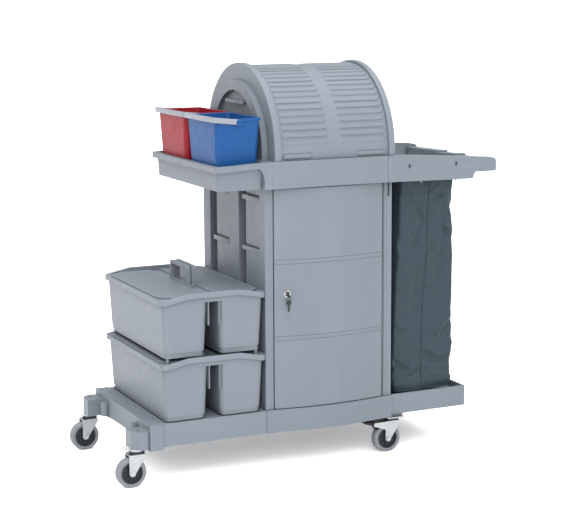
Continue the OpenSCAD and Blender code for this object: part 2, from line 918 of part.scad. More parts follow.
module door() {
    line = 2;
    depth = 1.2;
    spread = 7;
    seat_d = lock_d + 7;
    color(GREY) placed() difference() {
        translate([0, 0, door_z0]) linear_extrude(door_z1 - door_z0) {
            door_plan(door_r, door_r - door_t);
            translate([hinge_x, hinge_y]) circle(hinge_r);
            translate([hinge_x - 2 * hinge_r, hinge_y - hinge_r]) square([2 * hinge_r, door_t]);
        }
        for (z = [groove_low, groove_low + groove_pitch])
            for (side = [-1, 1])
                translate([0, 0, door_z0 + z + side * spread - line / 2])
                    linear_extrude(line) door_plan(door_r + depth, door_r - depth);
        for (z = [door_z0 - cut, door_z1 - hinge_depth])
            translate([hinge_x, hinge_y, z])
                cylinder(d = hinge_pin_d + 2 * pin_gap, h = hinge_depth + cut);
        lock_round(lock_face_y - door_t, lock_face_y + 2 * door_t, lock_d + 2 * seat_gap);
        lock_round(lock_face_y - door_t, lock_face_y + lock_seat, seat_d);
    }
}

// Pins that stand in the cabinet's base and hang from the top mouldings
module hinge_pins() {
    end_gap = 2;
    pin_l = door_gap + hinge_depth - end_gap;
    color(STEEL) placed()
        for (z = [base_top, cabinet_top - pin_l])
            translate([hinge_x, hinge_y, z]) cylinder(d = hinge_pin_d, h = pin_l);
}

// Runs a round piece of the lock along -Y, from y0 to y1
module lock_round(y0, y1, d) {
    translate([lock_x, y1, lock_z]) rotate([90, 0, 0]) cylinder(d = d, h = y1 - y0);
}

module lock_barrel() {
    flange_t = 3;
    flange_d = lock_d + 5;
    seat_y = lock_face_y + lock_seat;
    color(STEEL) placed() difference() {
        union() {
            lock_round(seat_y - flange_t, lock_back_y, lock_d);
            lock_round(seat_y - flange_t, seat_y, flange_d);
        }
        lock_round(lock_face_y - door_t, lock_back_y + cut, plug_d + 2 * pin_gap);
    }
}

// Turning plug with its key slot
module lock_plug() {
    proud = 1.5;
    slot = [2.2, 20, 8];
    color(STEEL) placed() difference() {
        lock_round(lock_face_y - proud, cam_y, plug_d);
        translate([lock_x, lock_face_y + slot[1] / 5, lock_z]) cube(slot, center = true);
    }
}

// Latch tongue behind the door, upright while the lock is open
module lock_cam() {
    color(STEEL) placed() along_y(cam_y, cam_y + cam_t) {
        translate([lock_x, lock_z]) circle(d = cam_w);
        translate([lock_x - cam_w / 2, lock_z]) square([cam_w, cam_reach]);
    }
}

// Flat key with a dark bow, in the lock
module key() {
    blade_t = 1.8;
    blade_w = 6;
    blade_in = 12;
    bow_t = 3.6;
    hole_r = 2.6;
    bow_y = lock_face_y - key_stand;
    color(DARK) placed() {
        block(
            [lock_x - blade_t / 2, bow_y, lock_z - blade_w / 2],
            [lock_x + blade_t / 2, lock_face_y + blade_in, lock_z + blade_w / 2]
        );
        difference() {
            along_x(lock_x - bow_t / 2, lock_x + bow_t / 2)
                translate([bow_y - bow_w / 2, lock_z]) intersection() {
                    circle(bow_r);
                    square([bow_w, 2 * bow_r], center = true);
                }
            translate([lock_x, ring_hole_y, ring_hole_z])
                rotate([0, 90, 0]) cylinder(r = hole_r, h = 2 * bow_w, center = true);
        }
    }
}

// Second key, hanging from a ring through the first key's bow
module spare_key() {
    ring_r = 8;
    wire_r = 0.9;
    hang = 1.2;
    key_t = 3;
    head_r = 8.5;
    blade = [5, 26];
    blade_end = 38;
    ring_z = ring_hole_z - ring_r + hang;
    color(DARK) placed() {
        translate([lock_x, ring_hole_y, ring_z])
            rotate([0, 90, 90]) rotate_extrude() translate([ring_r, 0]) circle(wire_r, $fn = 24);
        along_y(ring_hole_y - key_t / 2, ring_hole_y + key_t / 2) translate([lock_x, ring_z - ring_r]) {
            translate([0, -head_r + cut / 2]) circle(head_r);
            translate([-blade[0] / 2, -blade_end]) square(blade);
        }
    }
}

// Top mouldings

module bucket_tray() {
    lip_r = 16;
    lip_z = tray_rim_z - tray_lip_h;
    fillet_w = 26;
    fillet_h = 46;
    fillet_l = 24;
    fillet_z = lip_z + rim_drop;
    steps = 8;
    fillet = [
        for (i = [0:steps])
            let (a = 90 * i / steps)
            [bracket_x - fillet_w * (1 - sin(a)), fillet_z - fillet_h * (1 - cos(a))]
    ];
    // The basin's walls lean out from its floor to its rim
    floor_inset = 22;
    lean = 8;
    skin = 4;
    outer_y = top_y - floor_inset;
    inner_y = outer_y - top_wall;
    outer_r = 14;
    inner_r = 12;
    color(GREY) placed() difference() {
        union() {
            translate([basin_x, 0, cabinet_top])
                taper_box(
                    basin_l + 2 * skin, 2 * outer_y,
                    basin_l + 3 * skin, 2 * (outer_y + lean),
                    fillet_z - cabinet_top + cut, outer_r
                );
            intersection() {
                translate([0, 0, cabinet_top]) linear_extrude(top_h) {
                    translate([(bucket_tray_x + bracket_x) / 2, 0])
                        round_rect(bracket_x - bucket_tray_x, 2 * top_y, lip_r);
                    translate([bracket_x - 2 * lip_r, -top_y]) square([2 * lip_r, 2 * top_y]);
                }
                along_y(-top_y - cut, top_y + cut) polygon([
                    [bucket_tray_x - cut, tray_rim_z], [bucket_tray_x - cut, lip_z],
                    [bracket_x, fillet_z], [bracket_x, top_z]
                ]);
            }
            block([bracket_x, -top_y, cabinet_top], [deck_seam_x, top_y, top_z]);
            both_sides() along_y(top_y - fillet_l, top_y) polygon(concat(fillet, [
                [bracket_x + cut, fillet_z - fillet_h], [bracket_x + cut, fillet_z + cut],
                [bracket_x - fillet_w, fillet_z + cut]
            ]));
        }
        translate([bucket_x, 0, tray_floor_z])
            taper_box(
                basin_l - skin / 2, 2 * inner_y,
                basin_l + skin, 2 * (inner_y + lean + cut),
                top_z - tray_floor_z, inner_r
            );
        block(
            [bracket_x + top_wall + skin, -top_y + top_wall, cabinet_top - cut],
            [deck_seam_x + cut, top_y - top_wall, top_z - top_wall]
        );
    }
}

module top_deck() {
    ledge = 37;
    lap = 6;
    well_y = top_y - ledge;
    color(GREY) placed() difference() {
        block([deck_seam_x, -top_y, cabinet_top], [frame_x, top_y, top_z]);
        block(
            [shell_x0 - lap, -well_y, cabinet_top + top_wall],
            [frame_x - top_wall, well_y, top_z + cut]
        );
        both_sides()
            block(
                [deck_seam_x + top_wall, well_y + top_wall, cabinet_top - cut],
                [frame_x - top_wall, top_y - top_wall, top_z - top_wall]
            );
    }
}

// Side view of a bag frame arm, drooping towards its rounded tip
module arm_profile() {
    tip_r = 14;
    step_l = 10;
    difference() {
        polygon([
            [frame_x, arm_low_z],
            [opening_x, arm_low_z],
            [arm_step_x, arm_low_z - arm_fall],
            [arm_step_x + step_l, arm_tip_z],
            [frame_end_x, arm_tip_z],
            [frame_end_x, top_z - frame_droop],
            [opening_x, top_z],
            [frame_x, top_z]
        ]);
        translate([frame_end_x - tip_r, top_z - frame_droop - tip_r]) difference() {
            square(2 * tip_r);
            circle(tip_r);
        }
    }
}

module bag_frame() {
    bar_inset = 4;
    bar_x = frame_end_x - end_bar_w;
    bar_top = top_z - frame_droop - bar_inset;
    bar_low = arm_tip_z + bar_inset;
    // The arms, the bar and the block lap by this much inside the arms' walls
    lap = 1;
    bar_end = arm_y + lap;
    // The bar's edge rises from one step to the next
    step_drop = 7;
    step_places = bar_end * [-1, -0.37, 0.12, 1];
    edge = [
        for (i = [0:2])
            each [[step_places[i], bar_top], [step_places[i + 1], bar_top - step_drop]]
    ];
    pocket_r = 11;
    color(GREY) placed() difference() {
        union() {
            both_sides() along_y(arm_y, top_y) arm_profile();
            block([frame_x, -bar_end, cabinet_top], [opening_x, bar_end, top_z]);
            along_x(bar_x, frame_end_x)
                polygon(concat(edge, [[bar_end, bar_low], [-bar_end, bar_low]]));
        }
        both_sides()
            block(
                [opening_x + top_wall, arm_y + top_wall, arm_low_z - 2 * arm_fall],
                [arm_step_x - top_wall, top_y - top_wall, top_z - frame_droop - 2 * bar_inset]
            );
        block(
            [frame_x + top_wall, -arm_y, cabinet_top - cut],
            [opening_x - top_wall, arm_y, top_z - top_wall]
        );
        both_sides()
            for (x = hook_places)
                translate([x, top_y - hook_depth, hook_z])
                    rotate([-90, 0, 0]) cylinder(r = pocket_r, h = hook_depth + cut);
    }
}

// Pegs in the round pockets of the arms, for hanging tools
module frame_hooks() {
    color(GREY) placed() both_sides()
        for (x = hook_places)
            translate([x, top_y - hook_depth, hook_z]) rotate([-90, 0, 0]) {
                cylinder(r = hook_stem_r, h = hook_depth);
                translate([0, hook_head_drop, 0]) cylinder(r = hook_head_r, h = hook_head_t);
            }
}

// Studs under the arms, and pegs on their inner faces that hold the bag's hem
module bag_clips() {
    stud_r = 3;
    stud_h = 8;
    stud_inset = 0.2;
    hem_peg_r = 4;
    hem_drop = 12;
    first = 50;
    last = 24;
    color(GREY) placed() both_sides()
        for (x = [bag_x + first, bag_x + bag_w - last]) {
            difference() {
                translate([x, top_y - stud_r - stud_inset, arm_low_z - stud_h])
                    cylinder(r = stud_r, h = stud_h);
                along_y(arm_y, top_y) arm_profile();
            }
            translate([x, bag_l / 2, bag_top_z - hem_drop])
                rotate([-90, 0, 0]) cylinder(r = hem_peg_r, h = bag_side_gap);
        }
}

// Hood

// Half round outline of radius r, closed by the top mouldings
module arch_outline(r) {
    intersection() {
        translate([0, hood_z]) circle(r, $fn = 180);
        translate([-hood_r, top_z]) square([2 * hood_r, hood_rise + hood_r]);
    }
}

// Arch with its face at the plane x = 0 and its body towards +X
module hood_arch() {
    wall = 8;
    disc_inset = 58;
    disc_r = hood_r - disc_inset;
    disc_t = 20;
    recess_inset = 54;
    recess_r = disc_r - recess_inset;
    recess_t = 15;
    recess_rise = 20;
    recess_low = 50;
    bar = [150, 12];
    bar_r = 5;
    bar_rise = 161;
    ledge_t = 10;
    difference() {
        union() {
            along_x(0, arch_t) arch_outline(hood_r);
            along_x(-disc_t, 0) arch_outline(disc_r);
            along_x(arch_t, arch_t + ledge_w) arch_outline(ledge_r);
        }
        along_x(-disc_t - cut, -disc_t + recess_t) intersection() {
            translate([0, hood_z + recess_rise]) circle(recess_r);
            translate([-recess_r, hood_z + recess_low]) square([2 * recess_r, recess_r]);
        }
        along_x(wall, arch_t + ledge_w + cut) intersection() {
            arch_outline(ledge_r - ledge_t);
            translate([-hood_r, top_z + ledge_t]) square([2 * hood_r, 2 * hood_r]);
        }
    }
    along_x(-disc_t, -disc_t + recess_t)
        translate([0, hood_z + bar_rise]) round_rect(bar[0], bar[1], bar_r);
}

module hood_arch_left() {
    color(GREY) placed() translate([hood_x, 0, 0]) hood_arch();
}

module hood_arch_right() {
    color(GREY) placed() translate([hood_x + hood_l, 0, 0]) mirror([1, 0, 0]) hood_arch();
}

// Sector of a circle from the front (angle 0) over the top (90) to the back (180)
module sector(r, a0, a1) {
    steps = 12;
    reach = 1.2 * r;
    arc = [for (i = [0:steps]) let (a = a0 + (a1 - a0) * i / steps) reach * [-cos(a), sin(a)]];
    translate([0, hood_z]) polygon(concat([[0, 0]], arc));
}

// Plan of a hood shell between two angles, with ribs in [rib0, rib1]
module shell_plan(r, a0, a1, rib0, rib1) {
    rib_r = 6;
    intersection() {
        translate([0, hood_z]) difference() {
            union() {
                circle(r, $fn = 180);
                for (a = [rib0:rib_pitch:rib1])
                    translate((r + rib_h - rib_r) * [-cos(a), sin(a)]) circle(rib_r, $fn = 24);
            }
            circle(r - shell_t, $fn = 180);
        }
        sector(r, a0, a1);
    }
}

// Curved shell with two rows of ribs and plain borders
module hood_shell(r, a0, a1, rib0, rib1, side_gap) {
    border = 16;
    mid_x = (shell_x0 + shell_x1) / 2;
    cuts = [
        shell_x0 + side_gap, shell_x0 + border, mid_x - rib_gap / 2,
        mid_x + rib_gap / 2, shell_x1 - border, shell_x1 - side_gap
    ];
    for (i = [0:4])
        along_x(cuts[i], cuts[i + 1]) shell_plan(r, a0, a1, rib0, i % 2 == 1 ? rib1 : rib0 - 1);
}

module hood_rear() {
    overlap = 3;
    start = shutter_angle - overlap;
    first_rib = start + 2 * overlap;
    last_rib = 170;
    color(GREY) placed() intersection() {
        hood_shell(rear_r, start, 180 + foot_angle + 1, first_rib, last_rib, 0);
        block([shell_x0, -hood_r, top_z], [shell_x1, hood_r, hood_z + hood_r]);
    }
}

// Front cover that rolls up under the rear shell
module hood_shutter() {
    grip = [105, 6, 14];
    grip_proud = 4;
    grip_inset = 12;
    grip_z = top_z + 6;
    first_rib = 8;
    last_rib = shutter_angle - 4;
    foot = asin((hood_rise - shell_gap) / shutter_r);
    color(GREY) placed() {
        hood_shell(shutter_r, -foot, shutter_angle, first_rib, last_rib, slide_gap);
        for (x = [shell_x0 + grip_inset, shell_x1 - grip_inset - grip[0]])
            translate([x, -shutter_r - grip_proud, grip_z]) cube(grip);
    }
}

// Bag

// Outline of the bag, smaller by inset: a tapered body under a straight hem
module bag_form(inset) {
    body_h = bag_top_z - bag_tuck - bag_z;
    top = [bag_w - 2 * inset, bag_l - 2 * inset];
    foot = top + [bag_spread, -bag_draw];
    edge = bag_edge_r - inset;
    taper_box(foot[0], foot[1], top[0], top[1], body_h, edge);
    translate([0, 0, body_h]) taper_box(top[0], top[1], top[0], top[1], bag_tuck, edge);
}

module bag() {
    color([0.30, 0.36, 0.39]) placed() translate([bag_x + bag_w / 2, 0, bag_z]) difference() {
        bag_form(0);
        translate([0, 0, bag_t]) bag_form(bag_t);
    }
}

// Buckets

module bucket(side, tint) {
    low_w = bucket_w - 2 * bucket_taper;
    low_l = bucket_l - 2 * bucket_lean;
    rim = 3;
    edge_h = 8;
    high_w = bucket_w - 2 * rim;
    high_l = bucket_l - 2 * rim;
    edge = 18;
    wall = 2 * bucket_wall;
    boss_r = bail_pin_d / 2 + 4;
    boss_z = bail_z - tray_floor_z;
    color(tint) placed() translate([bucket_x, side * bucket_y, tray_floor_z]) difference() {
        union() {
            taper_box(low_w, low_l, high_w, high_l, bucket_h, edge);
            translate([0, 0, bucket_h - edge_h])
                linear_extrude(edge_h) round_rect(bucket_w, bucket_l, edge);
            translate([0, bucket_l / 2, boss_z])
                rotate([90, 0, 0]) cylinder(r = boss_r, h = bucket_l);
        }
        translate([0, 0, bucket_wall])
            taper_box(
                low_w - wall, low_l - wall,
                high_w - wall, high_l - wall,
                bucket_h, edge - bucket_wall
            );
        translate([0, bucket_l, boss_z])
            rotate([90, 0, 0]) cylinder(d = bail_pin_d + 2 * pin_gap, h = 2 * bucket_l);
    }
}

module bucket_blue() {
    bucket(-1, [0.22, 0.40, 0.66]);
}

module bucket_red() {
    bucket(1, [0.76, 0.22, 0.25]);
}

// Carrying bail, folded flat towards the free end of the tray
module bail(side) {
    color(GREY) placed() translate([bucket_x, side * bucket_y, bail_z]) {
        both_sides() {
            along_y(bail_inner, bail_outer) {
                circle(bail_h / 2);
                translate([-bail_reach, -bail_h / 2]) square([bail_reach, bail_h]);
            }
            translate([0, bail_inner, 0]) rotate([90, 0, 0]) cylinder(d = bail_pin_d, h = bail_pin_l);
        }
        block(
            [-bail_reach - bail_t, -bail_outer, -bail_h / 2],
            [-bail_reach, bail_outer, bail_h / 2]
        );
    }
}

module bail_blue() {
    bail(-1);
}

module bail_red() {
    bail(1);
}

// Caddies

module at_caddy(level) {
    placed() translate([caddy_x, 0, base_top + level * caddy_pitch]) children();
}

// Long side of the rim, raised in the middle
module rim_profile(h) {
    upper = [
        [-rim_w / 2, caddy_h], [-rim_foot, caddy_h], [-rim_crest, caddy_h + rim_rise],
        [rim_crest, caddy_h + rim_rise], [rim_foot, caddy_h], [rim_w / 2, caddy_h]
    ];
    lower = [for (i = [len(upper) - 1:-1:0]) upper[i] - [0, h]];
    polygon(concat(upper, lower));
}

// Space under the raised part of the rim
module rim_relief() {
    low = caddy_h - rim_h;
    polygon([
        [-rim_foot, low - cut], [-rim_foot, low], [-rim_crest, low + rim_rise],
        [rim_crest, low + rim_rise], [rim_foot, low], [rim_foot, low - cut]
    ]);
}

// Corner shelf under a lid notch, for the peg of the caddy above
module corner_shelf(sx, sy, edge) {
    shelf = 4;
    lap = 2;
    translate([0, 0, caddy_h - shelf]) linear_extrude(shelf) intersection() {
        translate([sx * comp_x, 0]) round_rect(comp_w, comp_l, edge);
        translate([sx * (comp_x + comp_w / 2), sy * comp_l / 2])
            rotate(45) square(sqrt(2) * (notch + lap), center = true);
    }
}

module caddy() {
    low_w = comp_w - 2 * comp_taper;
    low_l = comp_l - 2 * comp_taper;
    foot_w = low_w - 2 * plinth_inset;
    foot_l = low_l - 2 * plinth_inset;
    edge = 22;
    wall = 2 * caddy_wall;
    bridge_w = comp_gap + wall;
    bridge_t = 4;
    flange_t = 3;
    flange_l = 14;
    flange_low = caddy_h * 0.52;
    difference() {
        union() {
            for (sx = [-1, 1])
                translate([sx * comp_x, 0, 0]) {
                    translate([0, 0, plinth_h])
                        taper_box(low_w, low_l, comp_w, comp_l, caddy_h - plinth_h, edge);
                    linear_extrude(plinth_h) round_rect(foot_w, foot_l, edge - plinth_inset);
                }
            for (sx = [-1, 1])
                for (sy = [-1, 1])
                    translate([sx * peg_x, sy * peg_y, -peg_l]) cylinder(r = peg_r, h = peg_l);
            translate([0, 0, caddy_h - rim_h]) linear_extrude(rim_h) difference() {
                round_rect(rim_w, rim_l, edge);
                round_rect(rim_w - 2 * rim_reach - wall, comp_l - wall, edge - caddy_wall);
            }
            both_sides() intersection() {
                along_y(comp_l / 2 - caddy_wall, rim_l / 2) rim_profile(rim_h);
                linear_extrude(2 * caddy_h) round_rect(rim_w, rim_l, edge);
            }
            block([-bridge_w / 2, -comp_l / 2, caddy_h - bridge_t], [bridge_w / 2, comp_l / 2, caddy_h]);
            for (x = [-comp_gap / 2, comp_gap / 2])
                both_sides()
                    block(
                        [x - flange_t / 2, comp_l / 2 - flange_l, flange_low],
                        [x + flange_t / 2, comp_l / 2, caddy_h]
                    );
        }
        for (sx = [-1, 1])
            translate([sx * comp_x, 0, caddy_wall])
                taper_box(
                    foot_w - wall, foot_l - wall, comp_w - wall, comp_l - wall,
                    caddy_h, edge - caddy_wall - plinth_inset
                );
        both_sides() along_y(comp_l / 2, rim_l / 2 + cut) rim_relief();
    }
    for (sx = [-1, 1])
        for (sy = [-1, 1])
            corner_shelf(sx, sy, edge);
}

// Lid of one compartment: a sunk panel inside a raised border
module lid(side) {
    edge = 16;
    border = 10;
    sink = 1.5;
    panel_l = lid_l - 2 * notch;
    translate([side * comp_x, 0, caddy_h]) difference() {
        linear_extrude(lid_t) difference() {
            round_rect(lid_w, lid_l, edge);
            for (sy = [-1, 1])
                translate([side * lid_w / 2, sy * lid_l / 2])
                    rotate(45) square(sqrt(2) * notch, center = true);
        }
        translate([0, 0, lid_t - sink])
            linear_extrude(sink + cut) round_rect(lid_w - 2 * border, panel_l, border);
    }
}

// Two upright loops side by side on the bridge
module handle() {
    bar = 12;
    sill = 8;
    foot_h = 6;
    outer_r = 14;
    half = handle_l / 2;
    width = 2 * handle_t + loop_gap;
    for (sx = [-1, 1])
        translate([sx * (handle_t + loop_gap) / 2, 0, caddy_h])
            along_x(-handle_t / 2, handle_t / 2) difference() {
                union() {
                    translate([-half, 0]) square([handle_l, handle_h - outer_r]);
                    translate([-half + outer_r, 0]) square([handle_l - 2 * outer_r, handle_h]);
                    for (sy = [-1, 1])
                        translate([sy * (half - outer_r), handle_h - outer_r]) circle(outer_r);
                }
                translate([-half + bar, sill]) square([handle_l - 2 * bar, handle_h - bar - sill]);
            }
    block([-width / 2, -half, caddy_h], [width / 2, half, caddy_h + foot_h]);
}

module caddy_lower() {
    color(GREY) at_caddy(0) caddy();
}

module lid_lower_left() {
    color(GREY) at_caddy(0) lid(-1);
}

module lid_lower_right() {
    color(GREY) at_caddy(0) lid(1);
}

module handle_lower() {
    color(GREY) at_caddy(0) handle();
}

module caddy_upper() {
    color(GREY) at_caddy(1) caddy();
}

module lid_upper_left() {
    color(GREY) at_caddy(1) lid(-1);
}

module lid_upper_right() {
    color(GREY) at_caddy(1) lid(1);
}

module handle_upper() {
    color(GREY) at_caddy(1) handle();
}

end_beam();
caddy_deck();
cabinet_base();
bag_tray();
base_screws();
caster_stems();
caster_plates();
at_corner("fl") fork(false);  // fork_fl
at_corner("bl") fork(false);  // fork_bl
at_corner("fr") fork(true);  // fork_fr
at_corner("br") fork(true);  // fork_br
at_corner("fl") axle();  // axle_fl
at_corner("bl") axle();  // axle_bl
at_corner("fr") axle();  // axle_fr
at_corner("br") axle();  // axle_br
at_corner("fl") hub();  // hub_fl
at_corner("bl") hub();  // hub_bl
at_corner("fr") hub();  // hub_fr
at_corner("br") hub();  // hub_br
at_corner("fl") tyre();  // tyre_fl
at_corner("bl") tyre();  // tyre_bl
at_corner("fr") tyre();  // tyre_fr
at_corner("br") tyre();  // tyre_br
at_corner("fr") brake();  // brake_fr
at_corner("br") brake();  // brake_br
left_wall();
right_wall();
left_post();
right_post();
back_panel();
shelves();
door();
hinge_pins();
lock_barrel();
lock_plug();
lock_cam();
key();
spare_key();
bucket_tray();
top_deck();
bag_frame();
frame_hooks();
bag_clips();
hood_arch_left();
hood_arch_right();
hood_rear();
hood_shutter();
bag();
bucket_blue();
bucket_red();
bail_blue();
bail_red();
caddy_lower();
lid_lower_left();
lid_lower_right();
handle_lower();
caddy_upper();
lid_upper_left();
lid_upper_right();
handle_upper();
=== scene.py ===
"""Looks of the janitor cart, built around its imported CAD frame.

Metres, +Z up, +X towards the bag, -Y towards the door.
"""

import json
import math

import bmesh
import bpy
import numpy as np
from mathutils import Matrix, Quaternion, Vector


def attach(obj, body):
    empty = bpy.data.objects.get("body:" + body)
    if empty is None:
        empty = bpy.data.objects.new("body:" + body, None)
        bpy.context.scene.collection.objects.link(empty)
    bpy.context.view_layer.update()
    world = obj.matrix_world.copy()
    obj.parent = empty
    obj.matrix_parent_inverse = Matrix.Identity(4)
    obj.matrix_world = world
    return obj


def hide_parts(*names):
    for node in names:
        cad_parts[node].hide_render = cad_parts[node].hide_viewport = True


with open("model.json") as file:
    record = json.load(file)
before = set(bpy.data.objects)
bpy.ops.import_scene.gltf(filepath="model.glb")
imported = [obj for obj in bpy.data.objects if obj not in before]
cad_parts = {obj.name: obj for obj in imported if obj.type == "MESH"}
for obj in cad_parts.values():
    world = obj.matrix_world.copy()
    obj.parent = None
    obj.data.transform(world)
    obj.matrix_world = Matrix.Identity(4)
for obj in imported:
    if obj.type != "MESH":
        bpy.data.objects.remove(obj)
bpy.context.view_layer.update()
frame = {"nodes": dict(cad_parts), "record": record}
nodes = frame["nodes"]
scene = bpy.context.scene

# Camera, solved from the photograph's edges for a 562 x 512 image
CAMERA_PLACE = (-2.3241, -5.0259, 1.6130)
CAMERA_AZIMUTH = -25.30
CAMERA_ELEVATION = 9.15
CAMERA_ROLL = -0.22
CAMERA_LENS = 102.6
CAMERA_SENSOR = 36.0
CAMERA_SHIFT = (-0.0202, -0.0211)

# Softened edge of the CAD nodes in metres, and the nodes where it differs
PLAIN_EDGE = 0.001
EDGE = {
    "end_beam": 0.0022, "caddy_deck": 0.0025, "cabinet_base": 0.0035, "bag_tray": 0.0030,
    "left_post": 0.0015, "right_post": 0.0015, "back_panel": 0.0020, "shelves": 0.0015,
    "bucket_tray": 0.0030, "top_deck": 0.0020, "bag_frame": 0.0025, "bag_clips": 0.0008,
    "hood_arch_left": 0.0045, "hood_arch_right": 0.0045, "lid_lower_left": 0.0012,
    "lid_lower_right": 0.0012, "lid_upper_left": 0.0012, "lid_upper_right": 0.0012,
    "handle_lower": 0.0045, "handle_upper": 0.0045, "base_screws": 0.0004,
    "caster_stems": 0.0008, "caster_plates": 0.0008, "lock_barrel": 0.0004,
    "lock_plug": 0.0003, "lock_cam": 0.0004, "key": 0.0004, "spare_key": 0.0003,
    "hinge_pins": 0.0003,
}
CORNERS = ("fl", "bl", "fr", "br")
CASTER_EDGE = {"fork": 0.0006, "axle": 0.0003, "hub": 0.0008, "tyre": 0.0004, "brake": 0.0012}
EDGE.update({f"{part}_{c}": e for part, e in CASTER_EDGE.items() for c in CORNERS})
EDGE_ANGLE = math.radians(32)
EDGE_STEPS = 3
WELD_REACH = 1e-5
FLAT_ANGLE = math.radians(0.3)
# Nodes whose faces are left as they are cut, because joined ones would fold over
FACETED = ("door", "fork_br", "fork_fr")


# Materials

def linear(*rgb):
    """sRGB numbers from 0 to 255 as a linear colour."""
    def one(c):
        c /= 255
        return c / 12.92 if c <= 0.04045 else ((c + 0.055) / 1.055) ** 2.4
    return (*map(one, rgb), 1.0)


class Finish:
    """A Principled material under construction, on object coordinates in metres."""

    def __init__(self, name, colour, roughness, **sockets):
        self.material = bpy.data.materials.new(name)
        self.material.use_nodes = True
        self.tree = self.material.node_tree
        self.bsdf = self.tree.nodes["Principled BSDF"]
        self.coords = self.tree.nodes.new("ShaderNodeTexCoord")
        self.bump = None
        self.set(self.bsdf, "Base Color", colour)
        self.set(self.bsdf, "Roughness", roughness)
        for socket, value in sockets.items():
            self.set(self.bsdf, socket.replace("_", " "), value)

    def set(self, node, socket, value):
        node.inputs[socket].default_value = value

    def link(self, out, into):
        self.tree.links.new(out, into)

    def node(self, kind, **settings):
        made = self.tree.nodes.new(kind)
        for name, value in settings.items():
            setattr(made, name, value)
        return made

    def mapped(self, scale):
        mapping = self.node("ShaderNodeMapping")
        self.set(mapping, "Scale", scale)
        self.link(self.coords.outputs["Object"], mapping.inputs["Vector"])
        return mapping.outputs["Vector"]

    def noise(self, scale, detail=3.0, roughness=0.5, stretch=None):
        made = self.node("ShaderNodeTexNoise")
        self.set(made, "Scale", scale)
        self.set(made, "Detail", detail)
        self.set(made, "Roughness", roughness)
        vector = self.mapped(stretch) if stretch else self.coords.outputs["Object"]
        self.link(vector, made.inputs["Vector"])
        return made.outputs["Fac"]

    def ramp(self, value, low, high, to_low=0.0, to_high=1.0):
        made = self.node("ShaderNodeMapRange")
        for socket, number in zip(("From Min", "From Max", "To Min", "To Max"),
                                  (low, high, to_low, to_high)):
            self.set(made, socket, number)
        self.link(value, made.inputs["Value"])
        return made.outputs["Result"]

    def tint(self, factor, colour):
        """Mixes a colour over the base colour by a factor."""
        made = self.node("ShaderNodeMix", data_type="RGBA")
        base = self.bsdf.inputs["Base Color"]
        if base.is_linked:
            self.link(base.links[0].from_socket, made.inputs[6])
        else:
            made.inputs[6].default_value = base.default_value
        made.inputs[7].default_value = colour
        self.link(factor, made.inputs["Factor"])
        self.link(made.outputs[2], base)

    def relief(self, height, distance, strength=1.0):
        """Adds a bump on top of the ones there."""
        made = self.node("ShaderNodeBump")
        self.set(made, "Strength", strength)
        self.set(made, "Distance", distance)
        self.link(height, made.inputs["Height"])
        if self.bump:
            self.link(self.bump.outputs["Normal"], made.inputs["Normal"])
        self.bump = made
        self.link(made.outputs["Normal"], self.bsdf.inputs["Normal"])

    def rough(self, value, low, high, to_low, to_high):
        self.link(self.ramp(value, low, high, to_low, to_high), self.bsdf.inputs["Roughness"])


def scaled(colour, share):
    """A colour made lighter or darker."""
    return (*[min(1.0, c * share) for c in colour[:3]], 1.0)


# Moulded plastic: depth of the grain in metres, flow marks, worn edges, and painted shade that darkens
# the hollows
GRAIN = 0.00006
FLOW_SHADE = 0.92
EDGE_WEAR = 0.45
HOLLOW_PAINTED_SHADE = 0.72


def plastic(name, colour, roughness, pale=1.12, gloss=0.25):
    """Moulded plastic: spark-eroded grain, faint flow marks, scuffs, paler edges and painted shade in the
    hollows.
    """
    finish = Finish(name, colour, roughness, Specular_IOR_Level=gloss)
    light = scaled(colour, pale)
    finish.tint(finish.ramp(finish.noise(3.2, 2.0), 0.40, 0.70, 0.0, 0.55), scaled(colour, FLOW_SHADE))
    finish.tint(finish.ramp(finish.noise(14.0, 4.0, 0.6, (1, 1, 0.25)), 0.55, 0.80, 0.0, 0.35), light)
    geometry = finish.node("ShaderNodeNewGeometry")
    finish.tint(finish.ramp(geometry.outputs["Pointiness"], 0.52, 0.60, 0.0, EDGE_WEAR), light)
    # Painted shade: concave places, where the pointiness is low, are darkened
    finish.tint(finish.ramp(geometry.outputs["Pointiness"], 0.48, 0.42, 0.0, 0.6),
                scaled(colour, HOLLOW_PAINTED_SHADE))
    finish.rough(finish.noise(60.0, 5.0, 0.65), 0.35, 0.70, roughness - 0.06, roughness + 0.08)
    finish.relief(finish.noise(1100.0, 2.0), GRAIN)
    finish.relief(finish.noise(7.0, 1.0), 0.0006, 0.35)
    return finish.material


def zinc(name, colour, roughness):
    """Zinc-plated steel with faint spangle and drawn streaks."""
    finish = Finish(name, colour, roughness, Metallic=1.0)
    cells = finish.node("ShaderNodeTexVoronoi")
    finish.set(cells, "Scale", 260.0)
    finish.link(finish.coords.outputs["Object"], cells.inputs["Vector"])
    finish.tint(finish.ramp(cells.outputs["Distance"], 0.2, 0.7, 0.0, 0.35), scaled(colour, 0.80))
    finish.rough(finish.noise(90.0, 4.0, 0.6, (1, 1, 6)), 0.3, 0.7, roughness - 0.08, roughness + 0.12)
    finish.relief(finish.noise(600.0, 3.0), 0.00003)
    return finish.material


def rubber(name, colour, roughness):
    """Tyre rubber with a dusty tread."""
    finish = Finish(name, colour, roughness, Specular_IOR_Level=0.3)
    finish.tint(finish.ramp(finish.noise(75.0, 5.0, 0.7), 0.50, 0.78, 0.0, 0.5), scaled(colour, 1.35))
    finish.rough(finish.noise(120.0, 3.0), 0.35, 0.7, roughness - 0.08, roughness + 0.08)
    finish.relief(finish.noise(900.0, 3.0), 0.00008)
    return finish.material


